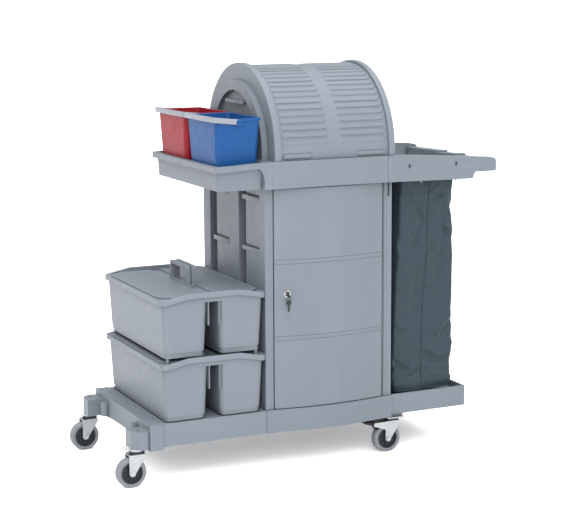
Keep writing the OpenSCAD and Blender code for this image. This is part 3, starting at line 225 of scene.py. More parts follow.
def cloth(name, colour):
    """Coated polyester: plain weave on the cut's own coordinates, sheen and handling marks."""
    finish = Finish(name, colour, 0.58, Sheen_Weight=0.06, Sheen_Roughness=0.4,
                    Specular_IOR_Level=0.22)
    finish.tint(finish.ramp(finish.noise(5.0, 3.0), 0.42, 0.72, 0.0, 0.35), scaled(colour, 0.78))
    finish.tint(finish.ramp(finish.noise(26.0, 5.0, 0.65), 0.55, 0.80, 0.0, 0.30), scaled(colour, 1.3))
    for direction in ("X", "Y"):
        wave = finish.node("ShaderNodeTexWave", bands_direction=direction)
        finish.set(wave, "Scale", 260.0)
        finish.set(wave, "Distortion", 0.6)
        finish.link(finish.coords.outputs["UV"], wave.inputs["Vector"])
        finish.relief(wave.outputs["Fac"], 0.00012, 0.6)
    finish.rough(finish.noise(40.0, 4.0), 0.3, 0.7, 0.50, 0.68)
    return finish.material


MATERIALS = {
    "body_plastic": plastic("body_plastic", linear(86, 92, 99), 0.48),
    "hood_plastic": plastic("hood_plastic", linear(89, 95, 102), 0.46),
    "caddy_plastic": plastic("caddy_plastic", linear(89, 95, 102), 0.50),
    "bail_plastic": plastic("bail_plastic", linear(106, 109, 116), 0.44),
    "blue_plastic": plastic("blue_plastic", linear(14, 57, 103), 0.46, pale=1.25, gloss=0.14),
    "red_plastic": plastic("red_plastic", linear(108, 14, 24), 0.46, pale=1.2, gloss=0.14),
    "bag_cloth": cloth("bag_cloth", linear(30, 42, 49)),
    "zinc_steel": zinc("zinc_steel", linear(150, 154, 156), 0.38),
    "wheel_hub": plastic("wheel_hub", linear(26, 28, 33), 0.50, pale=1.5),
    "tyre": rubber("tyre", linear(92, 94, 98), 0.62),
    "brake_pedal": plastic("brake_pedal", linear(22, 23, 26), 0.48, pale=1.6),
    "lock_metal": zinc("lock_metal", linear(190, 190, 192), 0.22),
    # The same dark finish colours the pieces of painted shade in slots, openings and gaps
    "key_bow": plastic("key_bow", linear(22, 23, 26), 0.40, pale=1.6),
}


def soften(obj, width, material):
    """Rounds the hard edges of a CAD node and gives it its finish."""
    weld = obj.modifiers.new("weld", "WELD")
    weld.merge_threshold = WELD_REACH
    if obj.name not in FACETED:
        flat = obj.modifiers.new("flat", "DECIMATE")
        flat.decimate_type = "DISSOLVE"
        flat.angle_limit = FLAT_ANGLE
    bevel = obj.modifiers.new("edge", "BEVEL")
    bevel.width = width
    bevel.segments = EDGE_STEPS
    bevel.limit_method = "ANGLE"
    bevel.angle_limit = EDGE_ANGLE
    bevel.use_clamp_overlap = True
    normal = obj.modifiers.new("normal", "WEIGHTED_NORMAL")
    normal.keep_sharp = True
    obj.data.polygons.foreach_set("use_smooth", [True] * len(obj.data.polygons))
    obj.data.materials.clear()
    obj.data.materials.append(material)


SLOT_OF = {row["node"]: row["material_slot"] for row in frame["record"]["subparts"]}
for name, obj in nodes.items():
    soften(obj, EDGE.get(name, PLAIN_EDGE), MATERIALS[SLOT_OF[name]])


# Forms

# The frame's origin on the cart, in mm from the housed casters' swivel axes
ORIGIN_X = 627.5
SHARP = math.radians(38)
UP = Vector((0, 0, 1))


def spot(x, y, z):
    """A place on the cart in mm as the frame's metres."""
    return Vector((x - ORIGIN_X, y, z)) / 1000


class Form:
    """Vertices and faces of one piece, gathered from closed shapes."""

    def __init__(self):
        self.verts, self.faces = [], []

    def rings(self, rings, loop=False, caps="flat"):
        """Skins rings of equal length. A loop joins the last to the first, other ends get caps."""
        start, n, count = len(self.verts), len(rings[0]), len(rings)
        for ring in rings:
            self.verts.extend(ring)
        for j in range(count if loop else count - 1):
            a, b = start + j * n, start + (j + 1) % count * n
            for i in range(n):
                k = (i + 1) % n
                self.faces.append((a + i, a + k, b + k, b + i))
        if loop:
            return
        for end in (start, start + (count - 1) * n):
            if caps == "flat":
                self.faces.append(tuple(range(end, end + n)))
            else:
                self.faces.extend((end + i, end + i + 1, end + n - 2 - i, end + n - 1 - i)
                                  for i in range(n // 2 - 1))

    def sweep(self, path, outs, profile, loop=True, up=UP):
        """Runs a profile of (out, up) in mm along a path in metres."""
        self.rings([[p + o * (a / 1000) + up * (b / 1000) for a, b in profile]
                    for p, o in zip(path, outs)], loop)

    def lathe(self, centre, axis, profile, steps=40):
        """Turns a closed profile of (radius, height) in mm about an axis."""
        axis = Vector(axis).normalized()
        side = axis.orthogonal().normalized()
        other = axis.cross(side)
        turns = [2 * math.pi * i / steps for i in range(steps)]
        self.rings([[centre + (side * math.cos(t) + other * math.sin(t)) * (r / 1000)
                     + axis * (h / 1000) for r, h in profile] for t in turns], loop=True)

    def tube(self, path, radius, sides=10):
        """A round tube in metres with domed ends along a path."""
        steps = [(b - a).normalized() for a, b in zip(path, path[1:])]
        ways = [steps[0]] + [(a + b).normalized() for a, b in zip(steps, steps[1:])] + [steps[-1]]
        side = ways[0].orthogonal().normalized()
        rings = []
        for i, (p, way) in enumerate(zip(path, ways)):
            side = (side - way * side.dot(way)).normalized()
            other = way.cross(side)
            dome = ((-0.95, 0.30), (-0.7, 0.72)) if i == 0 else ()
            tail = ((0.7, 0.72), (0.95, 0.30)) if i == len(path) - 1 else ()
            for ahead, share in (*dome, (0.0, 1.0), *tail):
                rings.append([p + way * (ahead * radius) + (
                    side * math.cos(t) + other * math.sin(t)) * (radius * share)
                    for t in (2 * math.pi * k / sides for k in range(sides))])
        self.rings(rings)

    def bar(self, low, high, corner, along):
        """A box between two corners in mm, with rounded long edges and domed ends along an axis."""
        a, b = spot(*low), spot(*high)
        axes = [Vector((1, 0, 0)), Vector((0, 1, 0)), Vector((0, 0, 1))]
        run = axes.pop("xyz".index(along))
        middle, size = (a + b) / 2, b - a
        length = abs(size.dot(run))
        halves = [abs(size.dot(axis)) / 2 for axis in axes]
        r = min(corner / 1000, min(halves) * 0.99, length / 2 * 0.99)
        rings = []
        for shift, inset in ((0, 1.0), (0.3, 0.3), (1.0, 0.0)):
            rings.append((-length / 2 + shift * r, inset * r))
        rings += [(-place, inset) for place, inset in reversed(rings)]
        self.rings([[middle + run * place + axes[0] * u + axes[1] * w
                     for u, w in round_rect(halves[0] - inset, halves[1] - inset, r)]
                    for place, inset in rings])

    def piece(self, name, slot, body, stands_for=()):
        """Makes the object, with its finish, and hangs it on a body."""
        mesh = bpy.data.meshes.new(name)
        mesh.from_pydata([tuple(v) for v in self.verts], [], self.faces)
        bm = bmesh.new()
        bm.from_mesh(mesh)
        bmesh.ops.remove_doubles(bm, verts=bm.verts, dist=1e-7)
        bmesh.ops.recalc_face_normals(bm, faces=bm.faces)
        for face in bm.faces:
            face.smooth = True
        bm.to_mesh(mesh)
        bm.free()
        mesh.set_sharp_from_angle(angle=SHARP)
        mesh.materials.append(MATERIALS[slot])
        obj = bpy.data.objects.new(name, mesh)
        scene.collection.objects.link(obj)
        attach(obj, body)
        if stands_for:
            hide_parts(*stands_for)
        return obj


def round_rect(half_u, half_w, r, steps=4):
    """Outline of a rounded rectangle, anticlockwise."""
    r = min(r, half_u * 0.98, half_w * 0.98)
    points = []
    for quarter, (su, sw) in enumerate(((1, 1), (-1, 1), (-1, -1), (1, -1))):
        for i in range(steps + 1):
            t = math.pi / 2 * (quarter + i / steps)
            points.append((su * (half_u - r) + r * math.cos(t), sw * (half_w - r) + r * math.sin(t)))
    return points


def plan_loop(half_x, half_y, corner, step=8.0, bend=7):
    """Places and outward directions round a rounded rectangle in the plan, in mm."""
    line_x, line_y = half_x - corner, half_y - corner
    places, outs = [], []
    for quarter, (sx, sy) in enumerate(((1, 1), (-1, 1), (-1, -1), (1, -1))):
        for i in range(bend + 1):
            t = math.pi / 2 * (quarter + i / bend)
            places.append((sx * line_x + corner * math.cos(t), sy * line_y + corner * math.sin(t)))
            outs.append((math.cos(t), math.sin(t)))
        length = 2 * (line_x if quarter % 2 == 0 else line_y)
        count = max(1, int(length / step))
        t = math.pi / 2 * (quarter + 1)
        start = places[-1]
        for i in range(1, count):
            places.append((start[0] - math.sin(t) * length * i / count,
                           start[1] + math.cos(t) * length * i / count))
            outs.append((math.cos(t), math.sin(t)))
    return places, outs


def smooth(t):
    """Eases from 0 to 1."""
    t = np.clip(t, 0.0, 1.0)
    return t * t * (3 - 2 * t)


# Hood

HOOD_Z = 1066.0
SHELL_X = (502.0, 906.0)
SHELL_T = 3.5
# Ribs in mm, with their pitch in degrees, and the fading of the hollows between them at both ends
RIB_H = 2.4
RIB_HALF = 7.6
RIB_EDGE = 2.8
RIB_SINK = 1.4
RIB_PITCH = 4.9
RIB_STRIP = 46.0
RIB_BORDER = 9.0
SINK_FADE = 3.0
SINK_FADE_TURN = 0.4
GRIP_L = 105.0
GRIP_INSET = 12.0
GRIP_ANGLES = (-2.9, 0.1)
GRIP_PROUD = 5.6
GRIP_LINE = 1.6
GRIP_LINE_OFF = 1.4
GRIP_LINE_HALF = 1.3
SEAM_ANGLE = 41.0
SEAM_SINK = 1.1
SEAM_HALF = 1.8
# Degrees between the cover's lines, and the closer ones up to the top of the grips
TURN_STEP = 0.4
FINE_STEP = 0.15
FINE_END = 1.2


def hood_columns():
    """Places across the hood, close together at the ribs' and grips' ends."""
    x0, x1 = SHELL_X
    middle = (x0 + x1) / 2
    rows = [(x0 + RIB_BORDER, middle - RIB_STRIP / 2), (middle + RIB_STRIP / 2, x1 - RIB_BORDER)]
    ends = [(e, s) for row in rows for e, s in zip(row, (1, -1))]
    ends += [(x0 + GRIP_INSET, 1), (x0 + GRIP_INSET + GRIP_L, -1),
             (x1 - GRIP_INSET - GRIP_L, 1), (x1 - GRIP_INSET, -1)]
    xs = {round(e + s * d, 2) for e, s in ends for d in (-2, -0.5, 0.7, 2, 3.3, 4.6, 6, 8, 10)}
    xs |= {round(x, 2) for x in np.linspace(x0 + 0.5, x1 - 0.5, 24)}
    return rows, np.array(sorted(x for x in xs if x0 + 0.4 < x < x1 - 0.4))


def hood_cover(name, body, node, radius, start, end, first_rib, last_rib, front):
    """Curved shell with two rows of round-ended ribs beside a plain strip."""
    rows, xs = hood_columns()
    angles = np.arange(start, end, TURN_STEP)
    if front:
        fine = np.arange(start, FINE_END, FINE_STEP)
        angles = np.concatenate([fine, np.arange(FINE_END, end, TURN_STEP)])
    angles = np.append(angles, end)
    across, turn = np.meshgrid(xs, angles, indexing="ij")
    arc = radius * math.pi / 180
    count = int((last_rib - first_rib) / RIB_PITCH)
    nearest = first_rib + RIB_PITCH * np.clip(np.round((turn - first_rib) / RIB_PITCH), 0, count)
    height = np.zeros_like(across)
    last = first_rib + count * RIB_PITCH
    for left, right in rows:
        beyond = np.maximum(np.maximum(left + RIB_HALF - across, across - right + RIB_HALF), 0)
        off = np.hypot(beyond, (turn - nearest) * arc)
        rise = smooth((RIB_HALF + RIB_EDGE / 2 - off) / RIB_EDGE)
        among = smooth(np.minimum(across - left, right - across) / SINK_FADE) * smooth(
            np.minimum(turn - first_rib, last - turn) / SINK_FADE_TURN)
        height += RIB_H * rise - RIB_SINK * among * (1 - rise)
    if front:
        height -= SEAM_SINK * np.exp(-((turn - SEAM_ANGLE) * arc / SEAM_HALF) ** 2)
        for left in (SHELL_X[0] + GRIP_INSET, SHELL_X[1] - GRIP_INSET - GRIP_L):
            inside = np.minimum(across - left, left + GRIP_L - across)
            level = np.minimum(turn - GRIP_ANGLES[0], GRIP_ANGLES[1] - turn) * arc
            off = np.minimum(inside, level) + GRIP_LINE_OFF
            height -= GRIP_LINE * np.exp(-(off / GRIP_LINE_HALF) ** 2)
            height = np.maximum(height, GRIP_PROUD * smooth(inside / 3) * smooth(level / 2) - GRIP_LINE)
    form = Form()
    rings = []
    for i, x in enumerate(xs):
        outer = [spot(x, -(radius + height[i, j]) * math.cos(math.radians(a)),
                      HOOD_Z + (radius + height[i, j]) * math.sin(math.radians(a)))
                 for j, a in enumerate(angles)]
        inner = [spot(x, -(radius - SHELL_T) * math.cos(math.radians(a)),
                      HOOD_Z + (radius - SHELL_T) * math.sin(math.radians(a)))
                 for a in angles[::-1]]
        rings.append(outer + inner)
    form.rings(rings, caps="strip")
    form.piece(name, "hood_plastic", body, [node])


hood_cover("shutter_cover", "shutter", "hood_shutter", radius=281.0, start=-3.85, end=115.0,
           first_rib=8.0, last_rib=111.0, front=True)
hood_cover("rear_cover", "cart_frame", "hood_rear", radius=288.0, start=112.0, end=183.9,
           first_rib=118.5, last_rib=172.0, front=False)


# Bag

BAG_AROUND = 320
BAG_RISE = 190
# Half depth at the foot and at the hem
BAG_DEEP = (243.0, 249.0)
BAG_Z = (206.0, 990.0)
BAG_HEM_Z = 956.0
BAG_CORNER = 14.0
# Height, and the left and right edges of the front face there
BAG_EDGES = (
    (206, 958, 1189), (240, 950, 1192), (272, 948, 1190), (298, 948, 1187), (330, 949, 1194),
    (394, 950, 1193), (490, 953, 1189), (536, 955, 1192), (590, 958, 1193), (677, 963, 1195),
    (742, 967, 1190), (806, 970, 1183), (843, 971, 1181), (890, 973, 1186), (945, 975, 1188),
    (960, 978, 1192), (990, 978, 1192),
)
BAG_THICKNESS = 0.0016
# The foot is drawn in: shares of the width and depth left, and the height it takes
TUCK = (0.965, 0.982)
TUCK_RISE = 26.0
# Rings of the floor: share of the rim and drop
BAG_FLOOR = ((0.90, 4.0), (0.70, 6.5), (0.45, 7.5), (0.20, 8.0))
PUSH_LIMITS = (-15, 9)
LOOSE_DEPTH = 2.1
LOOSE_SEED = 11
LOOSE_COUNT = 95
# Kinds of small folds: heights, lean in degrees, whether it leans both ways, length
FOOT_FOLD = ((230, 400), (-25, 25), False, (50, 120))
HEM_FOLD = ((720, 930), (48, 80), True, (60, 150))
SIDE_FOLD = ((380, 760), (68, 90), True, (110, 240))
LOOSE_KINDS = (FOOT_FOLD, FOOT_FOLD, HEM_FOLD, HEM_FOLD, SIDE_FOLD)
CREASE_DEPTH = 2.6
CREASE_SPREAD = 1.35
# Creases of the front face seen in the photograph: x and z of both ends, width, height
BAG_CREASES = (
    (2, 905, 46, 948, 5, -2.6), (-36, 857, -4, 804, 5, -2.6), (20, 860, 70, 890, 7, 1.8),
    (77, 788, 102, 740, 5, -2.6), (14, 766, 2, 697, 6, 2.2), (-6, 563, 32, 574, 5, -2.4),
    (-109, 425, -58, 414, 6, -2.2), (64, 387, 118, 451, 7, -3.0), (-115, 318, -51, 275, 7, -3.4),
    (-6, 345, 45, 307, 8, -3.6), (45, 307, 112, 312, 7, -3.0), (-70, 254, -13, 275, 6, -3.0),
    (-90, 905, -70, 700, 9, 1.8), (-60, 640, -70, 480, 12, 1.6), (60, 640, 70, 520, 10, -1.6),
    (-80, 948, -60, 900, 5, -2.2), (80, 950, 66, 880, 6, -2.2), (20, 420, 60, 395, 6, 2.4),
    (-100, 360, -60, 350, 6, 2.2), (30, 260, 100, 250, 6, 2.6),
)
# The front seam's drift over the height, and its ridge and groove: height, place, half width
SEAM_Z = (206, 383, 526, 651, 774, 914)
SEAM_X = (-13, -13, -7.5, -5, 1, 1)
SEAM_RELIEF = ((3.4, -6.0, 6.0), (-4.4, 3.0, 3.6))
STITCH_PITCH = 9
STITCH_Z = range(226, 940, STITCH_PITCH)
STITCH_L = 5
STITCH_OFF = 6.5
THREAD_R = 0.0006
PIPING_R = 2.2
PIPING_TUCK = (0.966, 0.983)


def bag_spread(z):
    """Middle and half width of the bag's front face at a height."""
    heights, left, right = zip(*BAG_EDGES)
    left, right = np.interp(z, heights, left), np.interp(z, heights, right)
    return (left + right) / 2, (right - left) / 2


def bag_depth(z):
    """Half depth of the bag at a height."""
    return np.interp(z, (BAG_Z[0], BAG_HEM_Z), BAG_DEEP)


def crease(s, z, row, length):
    """A fold along a line on the flat cloth, tapering to its ends."""
    s0, z0, s1, z1, width, rise = row
    width *= CREASE_SPREAD
    ds = (s - s0 + length / 2) % length - length / 2
    run = np.array([s1 - s0, z1 - z0], float)
    reach = np.hypot(*run)
    run /= reach
    along = (ds * run[0] + (z - z0) * run[1]) / reach
    off = -ds * run[1] + (z - z0) * run[0]
    taper = smooth((along + 0.12) / 0.35) * smooth((1.12 - along) / 0.35)
    fold = np.exp(-(off / width) ** 2)
    beside = np.exp(-((off - 2 * width) / (1.6 * width)) ** 2)
    return rise * taper * (fold - 0.45 * beside)


def loose_creases(length):
    """Small folds strewn over the cloth: diagonal near the hem, level near the foot."""
    rng = np.random.default_rng(LOOSE_SEED)
    rows = []
    for i in range(LOOSE_COUNT):
        s = rng.uniform(0, length)
        heights, leans, both, reaches = LOOSE_KINDS[i % len(LOOSE_KINDS)]
        z, lean = rng.uniform(*heights), rng.uniform(*leans)
        if both:
            lean *= rng.choice((-1, 1))
        reach = rng.uniform(*reaches)
        lean = math.radians(lean)
        rows.append((s, z, s + reach * math.cos(lean), z + reach * math.sin(lean),
                     rng.uniform(5, 9), rng.uniform(1.0, 2.6) * rng.choice((-1, 1))))
    return rows


class Bag:
    """The hanging sack as a surface over s, mm round it, and z."""

    def __init__(self):
        middle_z = sum(BAG_Z) / 2
        self.line = [bag_spread(middle_z)[1] - BAG_CORNER, bag_depth(middle_z) - BAG_CORNER]
        self.arc = BAG_CORNER * math.pi / 2
        self.length = 4 * (self.line[0] + self.line[1] + self.arc)
        self.back = self.length / 2
        self.loose = loose_creases(self.length)

    def ring(self, s, z):
        """Plan places and outward directions of the smooth bag."""
        half_x, half_y = bag_spread(z)[1], bag_depth(z)
        line_x, line_y = self.line
        x, y, ox, oy = (np.zeros_like(s) for _ in range(4))
        sides = ((2 * line_x, 0, -1), (2 * line_y, 1, 0), (2 * line_x, 0, 1), (2 * line_y, -1, 0))
        turn = (s % self.length + line_x) % self.length
        place = np.zeros_like(turn)
        for quarter, (run, nx, ny) in enumerate(sides):
            here = (turn >= place) & (turn <= place + run)
            t = (turn - place) / run * 2 - 1
            flat_x = (half_x - BAG_CORNER) * (t if quarter == 0 else -t if quarter == 2 else nx) + (
                BAG_CORNER * nx)
            flat_y = (half_y - BAG_CORNER) * (t if quarter == 1 else -t if quarter == 3 else ny) + (
                BAG_CORNER * ny)
            x, y = np.where(here, flat_x, x), np.where(here, flat_y, y)
            ox, oy = np.where(here, nx, ox), np.where(here, ny, oy)
            place = place + run
            bend = (turn > place) & (turn < place + self.arc)
            a = math.pi / 2 * (quarter - 1) + (turn - place) / BAG_CORNER
            sx, sy = ((1, -1), (1, 1), (-1, 1), (-1, -1))[quarter]
            x = np.where(bend, sx * (half_x - BAG_CORNER) + BAG_CORNER * np.cos(a), x)
            y = np.where(bend, sy * (half_y - BAG_CORNER) + BAG_CORNER * np.sin(a), y)
            ox, oy = np.where(bend, np.cos(a), ox), np.where(bend, np.sin(a), oy)
            place = place + self.arc
        return x, y, ox, oy

    def push(self, s, z):
        """How far the cloth stands off the smooth bag, in mm."""
        turn = 2 * math.pi * s / self.length
        hang = (BAG_HEM_Z - z) / (BAG_HEM_Z - BAG_Z[0])
        out = 2.2 * np.sin(7 * turn + 1.1 + 1.4 * hang) + 1.5 * np.sin(13 * turn + 0.4 - 2.1 * hang)
        out += 1.8 * np.sin(9 * hang + 2.0 * np.sin(2 * turn)) * smooth(hang / 0.5)
        out -= 3.5 * np.sin(math.pi * np.clip(hang, 0, 1)) * np.cos(2 * turn) ** 2
        for row in self.loose:
            out += LOOSE_DEPTH * crease(s, z, row, self.length)
        for row in BAG_CREASES:
            out += CREASE_DEPTH * crease(s, z, row, self.length)
        for middle, drift in ((0.0, np.interp(z, SEAM_Z, SEAM_X)), (self.back, 0.0)):
            off = (s - middle - drift + self.length / 2) % self.length - self.length / 2
            for rise, at, half in SEAM_RELIEF:
                out += rise * np.exp(-((off - at) / half) ** 2)
        out = np.clip(out, *PUSH_LIMITS)
        return out * smooth((BAG_HEM_Z - z) / 60) + 1.0 * smooth((z - BAG_HEM_Z + 6) / 4)

    def at(self, s, z):
        """Places of the cloth on the cart, in mm."""
        x, y, ox, oy = self.ring(s, z)
        out = self.push(s, z)
        return bag_spread(z)[0] + x + ox * out, y + oy * out, ox, oy


def make_bag():
    """Lofted sack with folds, a seam down its front and back, and a sagging floor."""
    bag = Bag()
    s, z = np.meshgrid(np.linspace(0, bag.length, BAG_AROUND, endpoint=False),
                       np.linspace(*BAG_Z, BAG_RISE + 1), indexing="xy")
    x, y, _, _ = bag.at(s, z)
    low = z[0, 0]
    tuck = smooth((z - low) / TUCK_RISE)
    centre, _ = bag_spread(z)
    x = centre + (x - centre) * (TUCK[0] + (1 - TUCK[0]) * tuck)
    y = y * (TUCK[1] + (1 - TUCK[1]) * tuck)
    verts = [spot(*p) for p in zip(x.ravel(), y.ravel(), z.ravel())]
    uvs = [(a / 1000, b / 1000) for a, b in zip(s.ravel(), z.ravel())]
    faces = []
    n = BAG_AROUND
    for j in range(BAG_RISE):
        for i in range(n):
            k = (i + 1) % n
            faces.append((j * n + i, j * n + k, (j + 1) * n + k, (j + 1) * n + i))
    rim = [Vector(v) for v in verts[:n]]
    middle = sum(rim, Vector()) / n
    before = 0
    for share, drop in BAG_FLOOR:
        first = len(verts)
        for v in rim:
            p = middle.lerp(v, share)
            verts.append(Vector((p.x, p.y, (low - drop) / 1000)))
            uvs.append((p.x, p.y))
        faces += [(before + (i + 1) % n, before + i, first + i, first + (i + 1) % n) for i in range(n)]
        before = first
    faces.append(tuple(reversed(range(before, before + n))))
    mesh = bpy.data.meshes.new("waste_bag")
    mesh.from_pydata([tuple(v) for v in verts], [], faces)
    layer = mesh.uv_layers.new(name="cut")
    corner = np.zeros(len(mesh.loops), int)
    mesh.loops.foreach_get("vertex_index", corner)
    layer.data.foreach_set("uv", np.array(uvs)[corner].ravel())
    mesh.polygons.foreach_set("use_smooth", [True] * len(mesh.polygons))
    mesh.materials.append(MATERIALS["bag_cloth"])
    sack = bpy.data.objects.new("waste_bag", mesh)
    scene.collection.objects.link(sack)
    thick = sack.modifiers.new("cloth", "SOLIDIFY")
    thick.thickness = BAG_THICKNESS
    thick.offset = -1
    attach(sack, "cart_frame")
    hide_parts("bag")
    return bag, sack


def make_stitches(bag):
    """Rows of thread beside the seams and under the hem."""
    form = Form()

    def row(s, z):
        x, y, ox, oy = bag.at(np.array(s, float), np.array(z, float))
        points = [spot(*p) + Vector((a, b, 0)) * 0.0004 for *p, a, b in zip(x, y, z, ox, oy)]
        for a, b in zip(points[::2], points[1::2]):
            form.tube([a, b], THREAD_R, 5)

    heights = [h + d for h in STITCH_Z for d in (0, STITCH_L)]
    for middle, drift in ((0.0, 1.0), (bag.back, 0.0)):
        row([middle + drift * np.interp(h, SEAM_Z, SEAM_X) + STITCH_OFF for h in heights], heights)
    around = [c + d for c in np.arange(0, bag.length - STITCH_PITCH, STITCH_PITCH) for d in (0, STITCH_L)]
    row(around, [BAG_HEM_Z - 3.0] * len(around))
    return form.piece("bag_stitches", "bag_cloth", "cart_frame")


def make_piping(bag):
    """Rolled seam round the bag's foot."""
    form = Form()
    s = np.linspace(0, bag.length, 240, endpoint=False)
    x, y, ox, oy = bag.at(s, np.full_like(s, BAG_Z[0] + 3))
    centre, _ = bag_spread(BAG_Z[0] + 3)
    x = centre + (x - centre) * PIPING_TUCK[0]
    path = [spot(a, b * PIPING_TUCK[1], BAG_Z[0] + 1.0) for a, b in zip(x, y)]
    outs = [Vector((a, b, 0)) for a, b in zip(ox, oy)]
    ring = [(PIPING_R * math.cos(t), PIPING_R * math.sin(t))
            for t in np.linspace(0, 2 * math.pi, 8, endpoint=False)]
    form.sweep(path, outs, ring)
    return form.piece("bag_piping", "bag_cloth", "cart_frame")


bag_surface, waste_bag = make_bag()
make_stitches(bag_surface)
make_piping(bag_surface)


# Buckets and caddies

BUCKET_X = 363.0
BUCKET_Y = 136.5
BUCKET_HALF = (82.5, 131.5)
BUCKET_CORNER = 18.0
BUCKET_RIM_Z = 1189.0
BAIL_Z = 1177.0
BAIL_OUT = 136.0
BAIL_IN = 131.8
BAIL_REACH = 85.0
BAIL_T = 5.0
BAIL_H = 18.0
BAIL_EDGE = 2.2
BAIL_CORNER = 6.0
BAIL_TAIL = 4.0
# Height of the bow's middle over the pivots: at the pivots and at the far side
BAIL_LIFT = (1.5, 11.0)
CADDY_X = 264.0
CADDY_RIM_HALF = (186.5, 285.0)
CADDY_RIM_Z = (401.0, 614.0)
CADDY_CORNER = 22.0
# The rim stands less proud beside the cabinet
RIM_PROUD = 2.0
RIM_PROUD_INNER = 0.3
BRIDGE_Y = 97.0
BRIDGE_HALF = (5.5, 9.5)
# Half sizes of the dark plates of painted shade in the bridge slots
BRIDGE_HOLE_SHADOW = (4.8, 8.8)
COMP_X = 98.5
FOOT_HALF = (69.0, 266.0)
FOOT_CORNER = 19.0
BASE_TOP = 206.0
RIM_RISE = 16.0
RIM_CREST = 91.5
RIM_FOOT = 171.5
RIM_PROFILE = (
    (-6.0, 0.3), (-4.5, 1.1), (-2.2, 1.5), (0.0, 1.1), (1.2, -0.6), (1.5, -3.0), (1.4, -11.5),
    (1.7, -14.0), (1.3, -16.2), (-0.4, -17.2), (-2.4, -16.6), (-2.6, -3.0), (-6.0, -1.0),
)
BUCKET_PROFILE = (
    (-4.2, -3.0), (-4.0, 0.2), (-2.9, 1.4), (-1.2, 1.7), (0.2, 1.0), (0.45, -0.5), (0.4, -2.2),
    (-0.5, -3.2),
)
BUTTON_PROFILE = (
    (0, -0.8), (11.5, -0.8), (11.5, 1.0), (10.0, 2.2), (4.0, 2.2), (3.2, 1.4), (0, 1.4),
)
DOT_PROFILE = ((0, 1.5), (2.0, 1.5), (1.8, 2.5), (0, 2.6))
DOT_OFF = 6.5
BEAD_PROFILE = ((-1.2, -0.5), (-1.0, 0.8), (0.0, 1.2), (1.0, 0.8), (1.2, -0.5))
# Section of the dark strips of painted shadow round the caddy's feet
SHADOW_STRIP_PROFILE = ((0.6, -0.4), (0.6, 3.4), (1.2, 4.0), (2.6, 3.4), (3.4, -0.4))


def bail_path():
    """Places and outward directions round three sides of a bucket, pivot to pivot."""
    inner = BAIL_REACH - BAIL_CORNER
    rows = [(BAIL_TAIL - i * (BAIL_TAIL + inner) / 12, -BAIL_IN, 0, -1) for i in range(13)]
    for i in range(1, 7):
        t = math.pi / 2 * i / 6
        rows.append((-inner - BAIL_CORNER * math.sin(t), -BAIL_IN + BAIL_CORNER * (1 - math.cos(t)),
                     -math.sin(t), -math.cos(t)))
    return rows + [(x, -y, a, -b) for x, y, a, b in reversed(rows)]


def bucket_trims(colour, side):
    """Rolled rim, bail bow and pivot caps of a bucket."""
    places, outs = plan_loop(*BUCKET_HALF, BUCKET_CORNER)
    form = Form()
    form.sweep([spot(BUCKET_X + x, side * BUCKET_Y + y, BUCKET_RIM_Z) for x, y in places],
               [Vector((a, b, 0)) for a, b in outs], BUCKET_PROFILE)
    form.piece(f"bucket_rim_{colour}", f"{colour}_plastic", f"pail_{colour}")
    bail = Form()
    places, outs = [], []
    for x, y, a, b in bail_path():
        lift = BAIL_LIFT[0] + (BAIL_LIFT[1] - BAIL_LIFT[0]) * min(1.0, -x / BAIL_REACH)
        places.append(spot(BUCKET_X + x, side * BUCKET_Y + y, BAIL_Z + lift))
        outs.append(Vector((a, b, 0)))
    band = round_rect(BAIL_T / 2, BAIL_H / 2, BAIL_EDGE)
    bail.sweep(places, outs, [(u + BAIL_T / 2, w) for u, w in band], loop=False)
    bail.piece(f"bail_bow_{colour}", "bail_plastic", f"handle_bail_{colour}", [f"bail_{colour}"])
    button = Form()
    face = side * (BUCKET_Y + BAIL_OUT + 0.6)
    button.lathe(spot(BUCKET_X, face, BAIL_Z), (0, side, 0), BUTTON_PROFILE)
    button.piece(f"bail_button_{colour}", f"{colour}_plastic", f"handle_bail_{colour}")
    dots = Form()
    for x in (-DOT_OFF, DOT_OFF):
        dots.lathe(spot(BUCKET_X + x, face, BAIL_Z), (0, side, 0), DOT_PROFILE)
    dots.piece(f"bail_dots_{colour}", "key_bow", f"handle_bail_{colour}")


def rim_arch(x):
    """Rise of a caddy's rim over its corners."""
    return RIM_RISE * min(1.0, max(0.0, (RIM_FOOT - abs(x)) / (RIM_FOOT - RIM_CREST)))


def caddy_trims(level, which):
    """Rim of a caddy, beads round the slots in the bridge between its halves, and dark plates of painted
    shade in those slots.
    """
    body = f"{which}_caddy"
    rim_z = CADDY_RIM_Z[level]
    places, outs = plan_loop(*CADDY_RIM_HALF, CADDY_CORNER, step=7.0)
    form = Form()
    rings = []
    for (x, y), (a, b) in zip(places, outs):
        z = rim_z + (rim_arch(x) if abs(b) > 0.5 else 0.0)
        proud = RIM_PROUD_INNER if a > 0.5 else RIM_PROUD
        rings.append([spot(CADDY_X + x + a * min(o, proud), y + b * min(o, proud), z + u)
                      for o, u in RIM_PROFILE])
    form.rings(rings, loop=True)
    form.piece(f"caddy_rim_{which}", "caddy_plastic", body)
    frames, hole_shadows = Form(), Form()
    shadow_half_x, shadow_half_y = BRIDGE_HOLE_SHADOW
    for y in (-BRIDGE_Y, BRIDGE_Y):
        path, ways = plan_loop(*BRIDGE_HALF, 3.0, step=30.0, bend=3)
        frames.sweep([spot(CADDY_X + a, y + b, rim_z) for a, b in path],
                     [Vector((a, b, 0)) for a, b in ways], BEAD_PROFILE)
        # Painted shade: dark plates stand for the shade inside the bridge slots
        hole_shadows.bar((CADDY_X - shadow_half_x, y - shadow_half_y, rim_z - 0.4),
                  (CADDY_X + shadow_half_x, y + shadow_half_y, rim_z + 0.3), 0.3, "y")
    frames.piece(f"bridge_slots_{which}", "caddy_plastic", body)
    hole_shadows.piece(f"bridge_holes_{which}", "key_bow", body)


